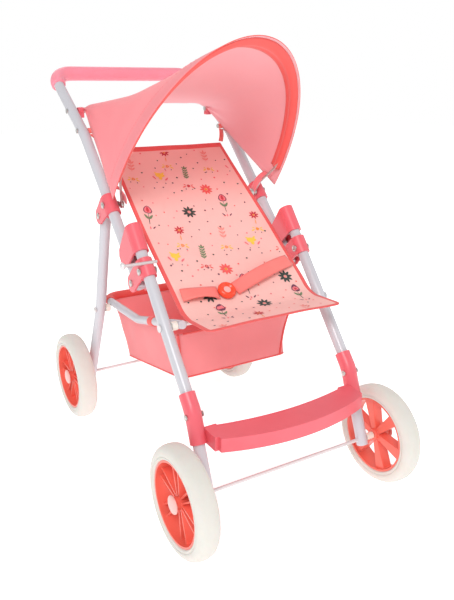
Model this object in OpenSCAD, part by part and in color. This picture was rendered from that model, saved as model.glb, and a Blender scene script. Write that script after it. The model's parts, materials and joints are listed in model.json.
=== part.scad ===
// Folding doll stroller: tube frame with four foam-tyred wheels, a sling seat,
// a hood on a bow, a hanging basket and a footrest.
// Millimetres. +Z is up, the front is -Y, X = 0 is the plane of symmetry and
// Y = 0 on the floor lies midway between the front tyres and the back of the grip.

/* [Wheels] */
// Diameter of a foam tyre
wheel_d = 144; // [110:1:175]
// Width of a foam tyre
tyre_w = 30; // [24:1:36]
// Radial thickness of a foam tyre
tyre_t = 18; // [12:1:22]
// Diameter of the two axle rods
axle_d = 5; // [4:0.5:7]
// Distance between the front and the rear axle
wheelbase = 408; // [360:1:480]
// Distance between the mid planes of the front wheels
front_track = 320; // [312:1:390]
// Distance between the mid planes of the rear wheels
rear_track = 310; // [302:1:380]
// Number of spokes in a wheel rim
spokes = 6; // [5:1:8]

/* [Tube frame] */
// Outer diameter of the leg and handle tubes
tube_d = 16; // [13:0.5:19]
// Wall of the leg and handle tubes
tube_wall = 1.2; // [0.8:0.1:2]
// Distance between the centre lines of the left and right tubes
frame_w = 252; // [240:1:300]
// Height of the bend in a front leg above the axle
leg_bend_up = 95; // [80:1:125]
// Distance of the bend in a front leg behind the front axle
leg_bend_back = 37; // [25:1:45]
// Angle of the upper front leg to the floor
leg_angle = 50.8; // [46:0.1:55]
// Length of the upper front leg, from its bend to its top
leg_up_len = 257; // [245:1:300]
// Length of the handle tube from the fold pivot to its bend
handle_low_len = 254; // [225:1:300]
// Length of the handle tube from its bend to the grip bar
handle_up_len = 163; // [140:1:200]
// Angle of the lower handle tube to the floor
handle_angle = 45; // [41:0.1:48]
// Angle of the upper handle tube to the floor
handle_top_angle = 33; // [25:0.1:40]
// Diameter of the foam grip
grip_d = 22.5; // [21:0.5:26]

/* [Fold linkage] */
// Place of the fold pivot along the upper front leg
fold_along = 194; // [185:1:205]
// Distance of the fold pivot behind the leg's centre line
fold_off = 37; // [33:1:42]
// Place of the rear leg pivot along the lower handle tube
rear_along = 130; // [115:1:145]
// Distance of the rear leg pivot below the handle tube's centre line
rear_off = 28; // [26:1:34]
// Place of the basket tube's front pivot along the upper front leg
basket_along = 113; // [105:1:122]
// Height of the bolt that joins a rear leg to the basket tube
rear_bolt_z = 207; // [197:1:217]
// Distance of that bolt behind the front axle
rear_bolt_back = 346; // [338:1:354]
// Diameter of the rivets that the frame turns on
rivet_d = 5; // [4:0.5:6]

/* [Soft parts] */
// Width of the seat
seat_w = 210; // [190:1:214]
// Length of the seat's back
seat_back_len = 316; // [290:1:330]
// Angle of the seat's back to the floor
seat_back_angle = 36.9; // [34:0.1:40]
// Depth of the seat's flat front
seat_pan_len = 64; // [50:1:80]
// Thickness of the seat's cloth and filling
seat_t = 5; // [4:0.5:7]
// Half of the hood's width at its front edge
hood_half_w = 135; // [134:1:142]
// Height of the hood's front edge from its tips to its top
hood_rise = 207; // [180:1:230]
// Lean of the hood's front edge, forwards for each unit of height
hood_lean = 0.74; // [0.5:0.01:0.9]
// Thickness of the hood's cloth
hood_t = 2.4; // [1.6:0.1:3]
// Diameter of the basket's tube
basket_tube_d = 12; // [10:0.5:13]
// Distance between the centre lines of the basket tube's sides
basket_w = 208; // [196:1:212]
// Thickness of the basket's cloth
basket_t = 2.4; // [1.6:0.1:3]

/* [Footrest] */
// Depth of the footrest's tread
tread_depth = 36; // [28:1:44]
// Height of the footrest's front lip
tread_h = 19; // [14:1:24]
// Forward bow of the footrest's front edge
tread_bow = 21; // [10:1:30]

/* [Hidden] */
$fn = 64;
eps = 0.01;

// Colours
white_paint = "#F3F1F3";
pink_plastic = "#F2737D";
coral_plastic = "#E8443A";
foam_pink = "#F79FB0";
cream = "#EFEAE0";
steel = "#B9B6B2";
cloth_pink = "#FF9A9E";
print_pink = "#FFC2BC";
coral_cloth = "#E9605A";

// Clearances
run = 0.05;    // radial, between a pin and what turns on it
seat_fit = 0.02; // radial, between a fixed pin and its hole
sleeve_fit = 0.06; // radial, between a bent tube and the sleeve round it
side_gap = 0.3;  // between faces that slide past each other

// Tubes
tube_r = tube_d / 2;
leg_x = frame_w / 2;
rivet_r = rivet_d / 2;
axle_r = axle_d / 2;
wheel_r = wheel_d / 2;
// From the front axle to the back of the grip or of a rear tyre
arc_fat = 1.015; // how much thicker the arc of a bent bar is than its straights
grip_back = leg_bend_back + fold_along * cos(leg_angle) + fold_off * sin(leg_angle)
            + handle_low_len * cos(handle_angle) + handle_up_len * cos(handle_top_angle)
            + grip_d / 2 * arc_fat;
front_y = (wheel_r - max(grip_back, wheelbase + wheel_r)) / 2;
rear_y = front_y + wheelbase;
axle_z = wheel_r;
end_past = 9;    // tube left beyond a pivot or an axle

// Plastic parts on the tubes
sleeve_wall = 2.8;
plate_t = 2.8;
plate_in = tube_r + side_gap;
plate_out = plate_in + plate_t;
head_r = rivet_r + 2;
head_h = 1.6;

// Points of the side frame, as [y, z]
function dir(a) = [cos(a), sin(a)];
function below(a) = [sin(a), -cos(a)];
leg_foot = [front_y, axle_z];
leg_bend = leg_foot + [leg_bend_back, leg_bend_up];
leg_top = leg_bend + leg_up_len * dir(leg_angle);
fold_p = leg_bend + fold_along * dir(leg_angle) + fold_off * below(leg_angle);
basket_p = leg_bend + basket_along * dir(leg_angle);
handle_bend = fold_p + handle_low_len * dir(handle_angle);
grip_p = handle_bend + handle_up_len * dir(handle_top_angle);
rear_p = fold_p + rear_along * dir(handle_angle) + rear_off * below(handle_angle);
bolt_p = [front_y + rear_bolt_back, rear_bolt_z];
leg_low_angle = atan2(leg_bend_up, leg_bend_back);
rear_top_angle = atan2(rear_p.y - bolt_p.y, rear_p.x - bolt_p.x);
rear_low_angle = atan2(bolt_p.y - axle_z, bolt_p.x - rear_y);

// Seat line, measured from the crease between the flat front and the back
crease_gap = 9;  // height of the crease above the basket tube's front pivot
crease = basket_p + [-7, crease_gap + seat_t / 2];
seat_split = (fold_p - crease) * dir(seat_back_angle);
seat_top = crease + seat_back_len * dir(seat_back_angle);

// Places along the handle tube
clip_along = 62;  // from the bend of the handle tube to the hood's clip
boss_along = 13;  // from the bend of the handle tube to the seat ribbon's boss
clip_p = handle_bend + clip_along * dir(handle_top_angle);
boss_p = handle_bend + boss_along * dir(handle_top_angle);

function yz(x, p) = [x, p.x, p.y];
function unit(v) = v / norm(v);

// Turns a frame so that its Z lies along the line at angle a in the YZ plane
// and its Y points square to the line, downwards and to the back.
module along_line(p, a, x = 0) { translate([x, p.x, p.y]) rotate([a - 90, 0, 0]) children(); }

// Solid round bar from a to b
module bar(a, b, r, fn = 64) {
  d = b - a;
  translate(a)
    rotate([0, acos(d.z / norm(d)), atan2(d.y, d.x)])
      cylinder(r = r, h = norm(d), $fn = fn);
}

// Part of a bent bar: the arc of radius rb that rounds corner b between a and c.
// It is a hair thicker than the bars, which run a little way into its ends.
arc_lap = 0.4;
module corner_arc(a, b, c, r, rb) {
  u = unit(b - a);
  v = unit(c - b);
  turn = acos(u * v);
  n = unit(cross(u, v));
  start = b - u * rb * tan(turn / 2);
  side = cross(n, u);
  centre = start + side * rb;
  // Columns of the turned frame: X runs from the centre to the start of the arc
  X = -side;
  Z = n;
  Y = cross(Z, X);
  translate(centre)
    rotate([atan2(Y.z, Z.z), asin(-X.z), atan2(X.y, X.x)])
      rotate_extrude(angle = turn) translate([rb, 0]) circle(r = r * arc_fat);
}

function corner_cut(a, b, c, rb) = rb * tan(acos(unit(b - a) * unit(c - b)) / 2);

// Bent bar along P; inner corner i is rounded to radius R[i - 1]
module bent(P, r, R, past = 0) {
  n = len(P);
  for (i = [0 : n - 2]) {
    u = unit(P[i + 1] - P[i]);
    from = i == 0 ? -past : corner_cut(P[i - 1], P[i], P[i + 1], R[i - 1]) - arc_lap;
    to = i == n - 2 ? -past : corner_cut(P[i], P[i + 1], P[i + 2], R[i]) - arc_lap;
    bar(P[i] + u * from, P[i + 1] - u * to, r);
  }
  for (i = [1 : n - 2]) corner_arc(P[i - 1], P[i], P[i + 1], r, R[i - 1]);
}

// Hole along X through [y, z]
module x_hole(p, r, from, to) { translate([from, p.x, p.y]) rotate([0, 90, 0]) cylinder(r = r, h = to - from); }
module x_rod(p, r, from, to) { x_hole(p, r, from, to); }

// Ring along X round [y, z]
module x_ring(p, r_in, r_out, from, to) {
  difference() {
    x_rod(p, r_out, from, to);
    x_hole(p, r_in, from - 1, to + 1);
  }
}

// Rivet or screw along X from side face a to side face b, with a head on each
module x_rivet(p, r, a, b) {
  x_rod(p, r, a - head_h, b + head_h);
  x_rod(p, r + 2, a - head_h, a);
  x_rod(p, r + 2, b, b + head_h);
}

// ---- Front legs -------------------------------------------------------------
leg_bend_r = 45;
module leg_path(s, r, past) {
  bent([yz(s * leg_x, leg_foot - end_past * dir(leg_low_angle)), yz(s * leg_x, leg_bend),
        yz(s * leg_x, leg_top)], r, [leg_bend_r], past);
}
bracket_rivet_p = leg_bend + fold_along * dir(leg_angle);
module front_leg(s) {
  color(white_paint) difference() {
    leg_path(s, tube_r, 0);
    leg_path(s, tube_r - tube_wall, 1);
    x_hole(leg_foot, axle_r + seat_fit, s * leg_x - tube_d, s * leg_x + tube_d);
    x_hole(basket_p, pivot_rod_r + seat_fit, s * leg_x - tube_d, s * leg_x + tube_d);
    x_hole(bracket_rivet_p, rivet_r + seat_fit, s * leg_x - tube_d, s * leg_x + tube_d);
    x_hole(foot_screw_p, foot_screw_r + seat_fit, s * leg_x - tube_d, s * leg_x + tube_d);
  }
}
module front_leg_left() { front_leg(-1); }
module front_leg_right() { front_leg(1); }

// ---- Lower brackets: clamped to the legs, they carry the fold pivots --------
bracket_len = 26;
bracket_mid = fold_along + 3;
pivot_pad_r = 12.5;

// Side plate of a bracket in its own frame: Y to the pivot, Z along the tube
module side_plate(off, lift, len, r, x) {
  translate([x, 0, 0]) rotate([90, 0, 90]) linear_extrude(plate_t) {
    translate([off, lift]) circle(r = r);
    polygon([[0, -len / 2], [off + r * 0.35, lift - r * 0.936], [off + r * 0.35, lift + r * 0.936],
             [0, len / 2]]);
  }
}

module clamp_body(off, lift, len, r) {
  difference() {
    union() {
      translate([0, 0, -len / 2]) cylinder(r = tube_r + sleeve_wall, h = len);
      side_plate(off, lift, len, r, plate_in);
      side_plate(off, lift, len, r, -plate_out);
    }
    translate([0, 0, -len]) cylinder(r = tube_r + seat_fit, h = 2 * len);
    // The slot between the plates stays open for the tube that turns in it
    translate([-plate_in, tube_r + 1, -len]) cube([2 * plate_in, off + 3 * r, 2 * len]);
  }
}

module lower_bracket(s) {
  color(pink_plastic) difference() {
    along_line(leg_bend + bracket_mid * dir(leg_angle), leg_angle, s * leg_x)
      clamp_body(fold_off, fold_along - bracket_mid, bracket_len, pivot_pad_r);
    x_hole(bracket_rivet_p, rivet_r + seat_fit, s * leg_x - 20, s * leg_x + 20);
    x_hole(fold_p, rivet_r + seat_fit, s * leg_x - 20, s * leg_x + 20);
    if (s < 0) x_hole(pin_p, pin_r + run, -leg_x - 20, -leg_x + 20);
  }
}
module lower_bracket_left() { lower_bracket(-1); }
module lower_bracket_right() { lower_bracket(1); }

module bracket_rivets() {
  color(steel) for (s = [-1, 1])
    x_rivet(bracket_rivet_p, rivet_r, s * leg_x - plate_out, s * leg_x + plate_out);
}
module fold_rivets() {
  color(steel) for (s = [-1, 1]) x_rivet(fold_p, rivet_r, s * leg_x - plate_out, s * leg_x + plate_out);
}

// ---- Lock pin: lies across the front of the left bracket --------------------
pin_r = 2.2;
pin_along = fold_along + 7;
pin_p = leg_bend + pin_along * dir(leg_angle) - (tube_r + pin_r + run) * below(leg_angle);
pin_out = 39;    // length of the pin outside the leg's centre line
pin_in = 13;     // and inside it
pin_cap_r = 5;
pin_cap_w = 4;
module lock_pin() {
  color(steel) {
    x_rod(pin_p, pin_r, -leg_x - pin_out, -leg_x + pin_in);
    x_rod(pin_p, pin_cap_r, -leg_x - pin_out, -leg_x - pin_out + pin_cap_w);
  }
}

// ---- Latches: sleeves on the tops of the legs that fork round the handle ----
latch_low = fold_along + 27;
latch_cap = 3;
latch_travel = 14;
latch_fork = fold_off + 12;
module latch(s) {
  top = leg_up_len + latch_cap + 1 - latch_low;
  color(pink_plastic) along_line(leg_bend + latch_low * dir(leg_angle), leg_angle, s * leg_x)
    difference() {
      union() {
        cylinder(r = tube_r + sleeve_wall, h = top);
        for (x = [plate_in, -plate_out]) translate([x, 0, 0]) rotate([90, 0, 90])
          linear_extrude(plate_t)
            polygon([[0, 0], [latch_fork - 14, -4], [latch_fork - 5, 0], [latch_fork, 8],
                     [latch_fork, 20], [latch_fork - 6, 27], [0, top]]);
      }
      translate([0, 0, -1]) cylinder(r = tube_r + run, h = top + 1 - latch_cap);
      translate([-plate_in, tube_r + 1, -20]) cube([2 * plate_in, latch_fork + 20, top + 40]);
    }
}
module latch_left() { latch(-1); }
module latch_right() { latch(1); }

// ---- Footrest ---------------------------------------------------------------
foot_up = 24;    // sleeve above the bend of the leg
foot_down = 40;  // sleeve below it
foot_screw_r = 1.8;
foot_screw_p = leg_bend + [-3, -4];
tread_top = leg_bend.y - 19;
tread_half = leg_x - 14;
tread_front = leg_bend.x - 46;
tread_wall = 2.6;
function bow_r(half, sag) = (half * half + sag * sag) / (2 * sag);

// Plan of the tread, inset by t all round
module tread_plan(t) {
  half = tread_half - t;
  rf = bow_r(tread_half, tread_bow);
  rr = bow_r(tread_half, tread_bow * 0.7);
  difference() {
    intersection() {
      translate([0, tread_front - tread_bow + rf]) circle(r = rf - t, $fn = 180);
      translate([-half, tread_front - tread_bow - 5]) square([2 * half, tread_depth + tread_bow + 10]);
    }
    translate([0, tread_front + tread_depth - tread_bow * 0.7 + rr]) circle(r = rr + t, $fn = 180);
  }
}
module foot_end(s) {
  x = s * leg_x;
  bent([yz(x, leg_bend - foot_down * dir(leg_low_angle)), yz(x, leg_bend),
        yz(x, leg_bend + foot_up * dir(leg_angle))], tube_r + sleeve_wall, [leg_bend_r]);
  // web from the sleeve to the tread
  translate([s * (leg_x - 18) - 9, tread_front + 6, tread_top - tread_h])
    cube([18, tread_depth - 6, tread_h]);
}
module footrest() {
  color(pink_plastic) difference() {
    union() {
      difference() {
        translate([0, 0, tread_top - tread_h]) linear_extrude(tread_h) tread_plan(0);
        translate([0, 0, tread_top - tread_h - 1]) linear_extrude(tread_h + 1 - tread_wall)
          tread_plan(tread_wall);
      }
      foot_end(-1);
      foot_end(1);
    }
    for (s = [-1, 1]) {
      bent([yz(s * leg_x, leg_foot), yz(s * leg_x, leg_bend), yz(s * leg_x, leg_top)],
           tube_r + sleeve_fit, [leg_bend_r]);
      x_hole(foot_screw_p, foot_screw_r + seat_fit, s * leg_x - 20, s * leg_x + 20);
    }
  }
}
module footrest_screws() {
  a = (tube_r + sleeve_wall) * arc_fat + eps;
  color(steel) for (s = [-1, 1])
    x_rivet(foot_screw_p, foot_screw_r, s * leg_x - a, s * leg_x + a);
}

// ---- Axles and wheels -------------------------------------------------------
hub_r = 8.5;
hub_w = 27;      // length of a hub along the axle
hub_in = 13.5;   // from the wheel's mid plane to the hub's inner end
axle_past = 11;  // axle beyond the wheel's mid plane
cap_r = 12;
cap_w = 3.5;
rim_r = wheel_r - tyre_t;
rim_wall = 3;
spacer_r = 5;
module axle(y, track) { x_rod([y, axle_z], axle_r, -track / 2 - axle_past, track / 2 + axle_past); }
module front_axle() { color(steel) axle(front_y, front_track); }
module rear_axle() { color(steel) axle(rear_y, rear_track); }

module spacers(y, track) {
  for (s = [-1, 1]) {
    a = leg_x + tube_r + side_gap;
    b = track / 2 - hub_in - side_gap;
    x_ring([y, axle_z], axle_r + seat_fit, spacer_r, s > 0 ? a : -b, s > 0 ? b : -a);
  }
}
module front_spacers() { color(cream) spacers(front_y, front_track); }
module rear_spacers() { color(cream) spacers(rear_y, rear_track); }

// Wheel parts in their own frame: Z is the axle and points outwards
module tyre() {
  h = tyre_w / 2;
  c = tyre_w * 0.42;     // how far the crown's rounding reaches in
  color(cream) rotate_extrude($fn = 128) difference() {
    union() {
      translate([rim_r + 0.02, -h + 2]) square([tyre_t - c, tyre_w - 4]);
      translate([wheel_r - c, 0]) scale_crown(c, h);
      translate([rim_r + 4, -h]) square([wheel_r - rim_r - c - 2, tyre_w]);
    }
    translate([0, -h - 1]) square([rim_r + 0.02, tyre_w + 2]);
  }
}
// Half of a rounded crown, c deep and 2h wide, from three arcs' worth of polygon
module scale_crown(c, h) {
  n = 24;
  polygon([for (i = [0 : n]) let (a = -90 + 180 * i / n)
           [c * pow(abs(cos(a)), 0.8), h * sign(sin(a)) * pow(abs(sin(a)), 0.8)]]);
}

spoke_in = -9;   // floor of a spoke channel, from the mid plane towards the frame
spoke_floor = 2.6;
spoke_rib = 2.4;
spoke_out = 6;   // top of the channel's ribs
module spoke() {
  a = hub_r - 1;
  b = rim_r - rim_wall + 0.6;
  wa = 0.9 * a * tan(180 / spokes); // half width at the hub
  wb = 8.5;      // half width at the rim
  translate([0, 0, spoke_in]) {
    linear_extrude(spoke_floor) polygon([[a, -wa], [b, -wb], [b, wb], [a, wa]]);
    for (s = [-1, 1]) linear_extrude(spoke_out - spoke_in)
      polygon([[a, s * wa], [b, s * wb], [b, s * (wb - spoke_rib)], [a, s * (wa - spoke_rib)]]);
  }
}
module rim() {
  h = tyre_w / 2 - 2;
  color(coral_plastic) difference() {
    union() {
      difference() {
        translate([0, 0, -h]) cylinder(r = rim_r, h = 2 * h, $fn = 128);
        translate([0, 0, -h - 1]) cylinder(r = rim_r - rim_wall, h = 2 * h + 2, $fn = 128);
      }
      translate([0, 0, -hub_in]) cylinder(r = hub_r, h = hub_w);
      for (i = [0 : spokes - 1]) rotate(i * 360 / spokes) spoke();
    }
    translate([0, 0, -hub_in - 1]) cylinder(r = axle_r + run, h = hub_w + 2);
  }
}
module cap() {
  color(foam_pink) difference() {
    translate([0, 0, hub_w - hub_in]) cylinder(r = cap_r, h = cap_w);
    translate([0, 0, hub_w - hub_in - 1]) cylinder(r = axle_r + 0.5, h = 2);
  }
}

// Places a wheel part: s is the side, phase turns the spokes
module at_wheel(s, y, track, phase) {
  translate([s * track / 2, y, axle_z]) rotate([0, s * 90, 0]) rotate(phase) children();
}
phase_fl = 12;
phase_fr = -19;
phase_rl = 30;
phase_rr = 5;
module front_left_tyre() { at_wheel(-1, front_y, front_track, 0) tyre(); }
module front_left_rim() { at_wheel(-1, front_y, front_track, phase_fl) rim(); }
module front_left_cap() { at_wheel(-1, front_y, front_track, 0) cap(); }
module front_right_tyre() { at_wheel(1, front_y, front_track, 0) tyre(); }
module front_right_rim() { at_wheel(1, front_y, front_track, phase_fr) rim(); }
module front_right_cap() { at_wheel(1, front_y, front_track, 0) cap(); }
module rear_left_tyre() { at_wheel(-1, rear_y, rear_track, 0) tyre(); }
module rear_left_rim() { at_wheel(-1, rear_y, rear_track, phase_rl) rim(); }
module rear_left_cap() { at_wheel(-1, rear_y, rear_track, 0) cap(); }
module rear_right_tyre() { at_wheel(1, rear_y, rear_track, 0) tyre(); }
module rear_right_rim() { at_wheel(1, rear_y, rear_track, phase_rr) rim(); }
module rear_right_cap() { at_wheel(1, rear_y, rear_track, 0) cap(); }

// ---- Handle -----------------------------------------------------------------
handle_bend_r = 60;
grip_bend_r = 30;
grip_side = 34;  // length of the foam on each side tube, from the corner
handle_radii = [handle_bend_r, grip_bend_r, grip_bend_r, handle_bend_r];
module handle_path(r, past) {
  low = fold_p - end_past * dir(handle_angle);
  bent([yz(-leg_x, low), yz(-leg_x, handle_bend), yz(-leg_x, grip_p), yz(leg_x, grip_p),
        yz(leg_x, handle_bend), yz(leg_x, low)], r, handle_radii, past);
}
module handle_tube() {
  color(white_paint) difference() {
    handle_path(tube_r, 0);
    handle_path(tube_r - tube_wall, 1);
    for (s = [-1, 1]) {
      x_hole(fold_p, rivet_r + run, s * leg_x - tube_d, s * leg_x + tube_d);
      x_hole(conn_rivet_p, rivet_r + seat_fit, s * leg_x - tube_d, s * leg_x + tube_d);
      for (p = [clip_p, boss_p])
        x_hole(p, small_r + seat_fit, s * leg_x - tube_d, s * leg_x + tube_d);
    }
  }
}
module grip_path(r, past) {
  side = grip_p - grip_side * dir(handle_top_angle);
  bent([yz(-leg_x, side), yz(-leg_x, grip_p), yz(leg_x, grip_p), yz(leg_x, side)], r,
       [grip_bend_r, grip_bend_r], past);
}
module handle_grip() {
  color(foam_pink) difference() {
    grip_path(grip_d / 2, 0);
    grip_path(tube_r + sleeve_fit, 1);
  }
}

// ---- Upper connectors: on the handle, they carry the rear legs --------------
conn_len = 30;
conn_rivet_p = fold_p + (rear_along - 1) * dir(handle_angle);
conn_pad_r = 12;
module connector(s) {
  mid = rear_along - 3;
  color(pink_plastic) difference() {
    along_line(fold_p + mid * dir(handle_angle), handle_angle, s * leg_x)
      clamp_body(rear_off, rear_along - mid, conn_len, conn_pad_r);
    x_hole(conn_rivet_p, rivet_r + seat_fit, s * leg_x - 20, s * leg_x + 20);
    x_hole(rear_p, rivet_r + seat_fit, s * leg_x - 20, s * leg_x + 20);
  }
}
module connector_left() { connector(-1); }
module connector_right() { connector(1); }
module connector_rivets() {
  color(steel) for (s = [-1, 1])
    x_rivet(conn_rivet_p, rivet_r, s * leg_x - plate_out, s * leg_x + plate_out);
}
module rear_leg_rivets() {
  color(steel) for (s = [-1, 1]) x_rivet(rear_p, rivet_r, s * leg_x - plate_out, s * leg_x + plate_out);
}

// ---- Hood clips, ribbon bosses and their screws -----------------------------
small_r = 1.7;
clip_w = 9;
boss_w = 7;
module clip(s) {
  a = leg_x - tube_r - side_gap;
  color(pink_plastic) difference() {
    union() {
      x_rod(clip_p, 6, s > 0 ? a - clip_w : -a, s > 0 ? a : -a + clip_w);
      translate([s > 0 ? a - clip_w : -a, clip_p.x - 5, clip_p.y - 10]) cube([clip_w, 10, 8]);
    }
    x_hole(clip_p, small_r + seat_fit, s * leg_x - 40, s * leg_x + 40);
  }
}
module hood_clip_left() { clip(-1); }
module hood_clip_right() { clip(1); }
module boss(s) {
  a = leg_x - tube_r - side_gap;
  color(cloth_pink)
    x_ring(boss_p, small_r + seat_fit, 4, s > 0 ? a - boss_w : -a, s > 0 ? a : -a + boss_w);
}
module strap_boss_left() { boss(-1); }
module strap_boss_right() { boss(1); }
module handle_screws() {
  color(steel) for (s = [-1, 1]) {
    out = leg_x + tube_r;
    for (q = [[clip_p, clip_w], [boss_p, boss_w]]) {
      in = leg_x - tube_r - side_gap - q[1];
      x_rivet(q[0], small_r, s > 0 ? in : -out, s > 0 ? out : -in);
    }
  }
}

// ---- Rear legs --------------------------------------------------------------
rear_bend_r = 200;
module rear_path(s, r, past) {
  x = s * leg_x;
  bent([yz(x, rear_p + end_past * dir(rear_top_angle)), yz(x, bolt_p),
        yz(x, [rear_y, axle_z] - end_past * dir(rear_low_angle))], r, [rear_bend_r], past);
}
module rear_leg(s) {
  color(white_paint) difference() {
    rear_path(s, tube_r, 0);
    rear_path(s, tube_r - tube_wall, 1);
    x_hole(rear_p, rivet_r + run, s * leg_x - tube_d, s * leg_x + tube_d);
    x_hole(bolt_p, rivet_r + seat_fit, s * leg_x - tube_d, s * leg_x + tube_d);
    x_hole([rear_y, axle_z], axle_r + seat_fit, s * leg_x - tube_d, s * leg_x + tube_d);
  }
}
module rear_leg_left() { rear_leg(-1); }
module rear_leg_right() { rear_leg(1); }

// The bolts end short of the basket tube, where the linkage is left open
open_gap = 0.6;
bolt_in = basket_w / 2 + basket_tube_d / 2 + open_gap;
bolt_face = leg_x + tube_r * arc_fat + eps;
module rear_bolts() {
  color(steel) for (s = [-1, 1]) {
    x_rod(bolt_p, rivet_r, s > 0 ? bolt_in : -bolt_face - head_h,
          s > 0 ? bolt_face + head_h : -bolt_in);
    x_rod(bolt_p, head_r, s > 0 ? bolt_face : -bolt_face - head_h,
          s > 0 ? bolt_face + head_h : -bolt_face);
  }
}
bush_r = 6;
module rear_bushes() {
  b = leg_x - tube_r - side_gap / 2;
  color(cream) for (s = [-1, 1])
    x_ring(bolt_p, rivet_r + seat_fit, bush_r, s > 0 ? bolt_in : -b, s > 0 ? b : -bolt_in);
}

// ---- Basket tube, its pivot rod and the basket ------------------------------
pivot_rod_r = 3;
basket_x = basket_w / 2;
basket_bend = basket_p + [138, -38];
basket_back = [front_y + 382, basket_bend.y - 5];
basket_end = 6;  // tube left in front of its pivot
basket_corner_r = 24;
basket_bend_r = 40;
module basket_path(r, past) {
  front = basket_p - basket_end * unit(basket_bend - basket_p);
  back = basket_back;
  bent([yz(-basket_x, front), yz(-basket_x, basket_bend), yz(-basket_x, back),
        yz(basket_x, back), yz(basket_x, basket_bend), yz(basket_x, front)], r,
       [basket_bend_r, basket_corner_r, basket_corner_r, basket_bend_r], past);
}
module basket_tube() {
  color(white_paint) difference() {
    basket_path(basket_tube_d / 2, 0);
    basket_path(basket_tube_d / 2 - tube_wall, 1);
    x_hole(basket_p, pivot_rod_r + run, -leg_x, leg_x);
  }
}
module seat_rod() {
  color(steel) x_rivet(basket_p, pivot_rod_r, -leg_x - tube_r, leg_x + tube_r);
}
module front_bushes() {
  a = basket_x + basket_tube_d / 2 + side_gap;
  b = leg_x - tube_r - side_gap / 2;
  color(cream) for (s = [-1, 1])
    x_ring(basket_p, pivot_rod_r + seat_fit, bush_r, s > 0 ? a : -b, s > 0 ? b : -a);
}

// Corners of the basket's side view, front top first, as [y, z]
basket_gap = 1;  // between the cloth and the tube that it hangs on
basket_side = [[basket_p.x + 26, basket_p.y - 26], [basket_p.x + 26, basket_p.y - 92],
               [front_y + 334, 124], [basket_back.x - basket_tube_d / 2 - basket_gap, basket_back.y - 2],
               [basket_bend.x, basket_bend.y - 4]];
basket_half = basket_x - basket_tube_d / 2 - basket_gap;
basket_taper = 8; // narrowing of each side towards the bottom
basket_cut = 0.68 * basket_corner_r;
module basket_side_plan(t) {
  // inner outline, a cloth's thickness inside the outer one, open at the top
  a = basket_side;
  polygon(t == 0 ? a : [a[0] + [t, 30], a[1] + [t, t], a[2] + [-t * 1.2, t], a[3] + [-t, 30]]);
}
module basket_solid(t) {
  half = basket_half - t;
  intersection() {
    rotate([90, 0, 90]) translate([0, 0, -half]) linear_extrude(2 * half) basket_side_plan(t);
    // sides lean in towards the bottom
    rotate([90, 0, 0]) translate([0, 0, -400]) linear_extrude(800)
      polygon([[-half, basket_p.y + 60], [-half, basket_p.y], [-half + basket_taper, 110],
               [half - basket_taper, 110], [half, basket_p.y], [half, basket_p.y + 60]]);
    // rear corners are cut off, clear of the round corners of the tube
    back = basket_side[3].x - t;
    cut = basket_cut - 0.586 * t;
    linear_extrude(400)
      polygon([[-half - 1, -400], [half + 1, -400], [half + 1, back - cut - 1],
               [half - cut, back + eps], [-half + cut, back + eps], [-half - 1, back - cut - 1]]);
  }
}
module basket() {
  color(cloth_pink) difference() {
    basket_solid(0);
    basket_solid(basket_t);
  }
}

// ---- Seat -------------------------------------------------------------------
seat_half = seat_w / 2;
module slab(p, a, from, to, half, t) {
  // flat panel from..to along the line at angle a through p, t thick
  translate([-half, p.x, p.y]) rotate([a, 0, 0]) translate([0, from, -t / 2])
    cube([2 * half, to - from, t]);
}
module seat_base() {
  front_drop = 3;   // the flat front slopes down a little towards its edge
  color(print_pink) difference() {
    union() {
      slab(crease, seat_back_angle, -1, seat_split - 0.4, seat_half, seat_t);
      slab(crease, 180 + front_drop, 0, seat_pan_len, seat_half, seat_t);
    }
    // the sling turns round the rod below it and leaves it free
    x_hole(basket_p, pivot_rod_r + 2, -leg_x, leg_x);
  }
}
module seat_back() {
  color(print_pink)
    slab(crease, seat_back_angle, seat_split + 0.4, seat_back_len, seat_half - 2, seat_t);
}

// Ribbons that tie the seat's top corners to the bosses
ribbon_t = 2;
module ribbon(s) {
  x = leg_x - tube_r - side_gap - boss_w / 2;
  low = seat_top + [-6, 4];
  color(coral_cloth) hull() {
    translate([s * (seat_half - 8), low.x, low.y + 2]) cube([9, 3, ribbon_t], center = true);
    translate([s * x, boss_p.x - 3, boss_p.y - 6.5]) cube([5, 3, ribbon_t], center = true);
  }
}
module seat_ribbon_left() { ribbon(-1); }
module seat_ribbon_right() { ribbon(1); }

// Lap belt: two straps on the seat that meet at the buckle
belt_w = 22;
belt_t = 1.6;
belt_lift = seat_t / 2 + 0.4;
belt_mid = 26;    // place of the buckle along the seat's back
buckle_r = 13;
buckle_x = -28;
buckle_t = 6;
module on_back(along, x) {
  translate([x, crease.x, crease.y]) rotate([seat_back_angle, 0, 0])
    translate([0, along, belt_lift]) children();
}
module belt_strap(x0, x1, a0, a1) {
  on_back(a0, x0) {
    d = [x1 - x0, a1 - a0];
    rotate(atan2(d.y, d.x)) translate([0, -belt_w / 2, 0]) cube([norm(d), belt_w, belt_t]);
  }
}
module belt_strap_right() {
  color(coral_cloth) belt_strap(buckle_x + buckle_r + 1, seat_half - 9, belt_mid + 2, belt_mid + 34);
}
module belt_strap_left() {
  color(coral_cloth) belt_strap(-seat_half + 12, buckle_x - buckle_r - 1, belt_mid + 6, belt_mid);
}
module belt_buckle() {
  color("#FF5A36") on_back(belt_mid, buckle_x) cylinder(r = buckle_r, h = buckle_t);
}

// ---- Hood -------------------------------------------------------------------
hood_pivot = fold_p + 122 * dir(handle_angle) - 8 * below(handle_angle);
hood_tip = hood_pivot + [-24, 13];
hood_rear = clip_p + [1, 5];
hood_rear_half = leg_x - tube_r - side_gap - clip_w - 1;
hood_nu = 28;
hood_nv = 7;
function step(t) = t <= 0 ? 0 : t >= 1 ? 1 : t * t * (3 - 2 * t);
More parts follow.
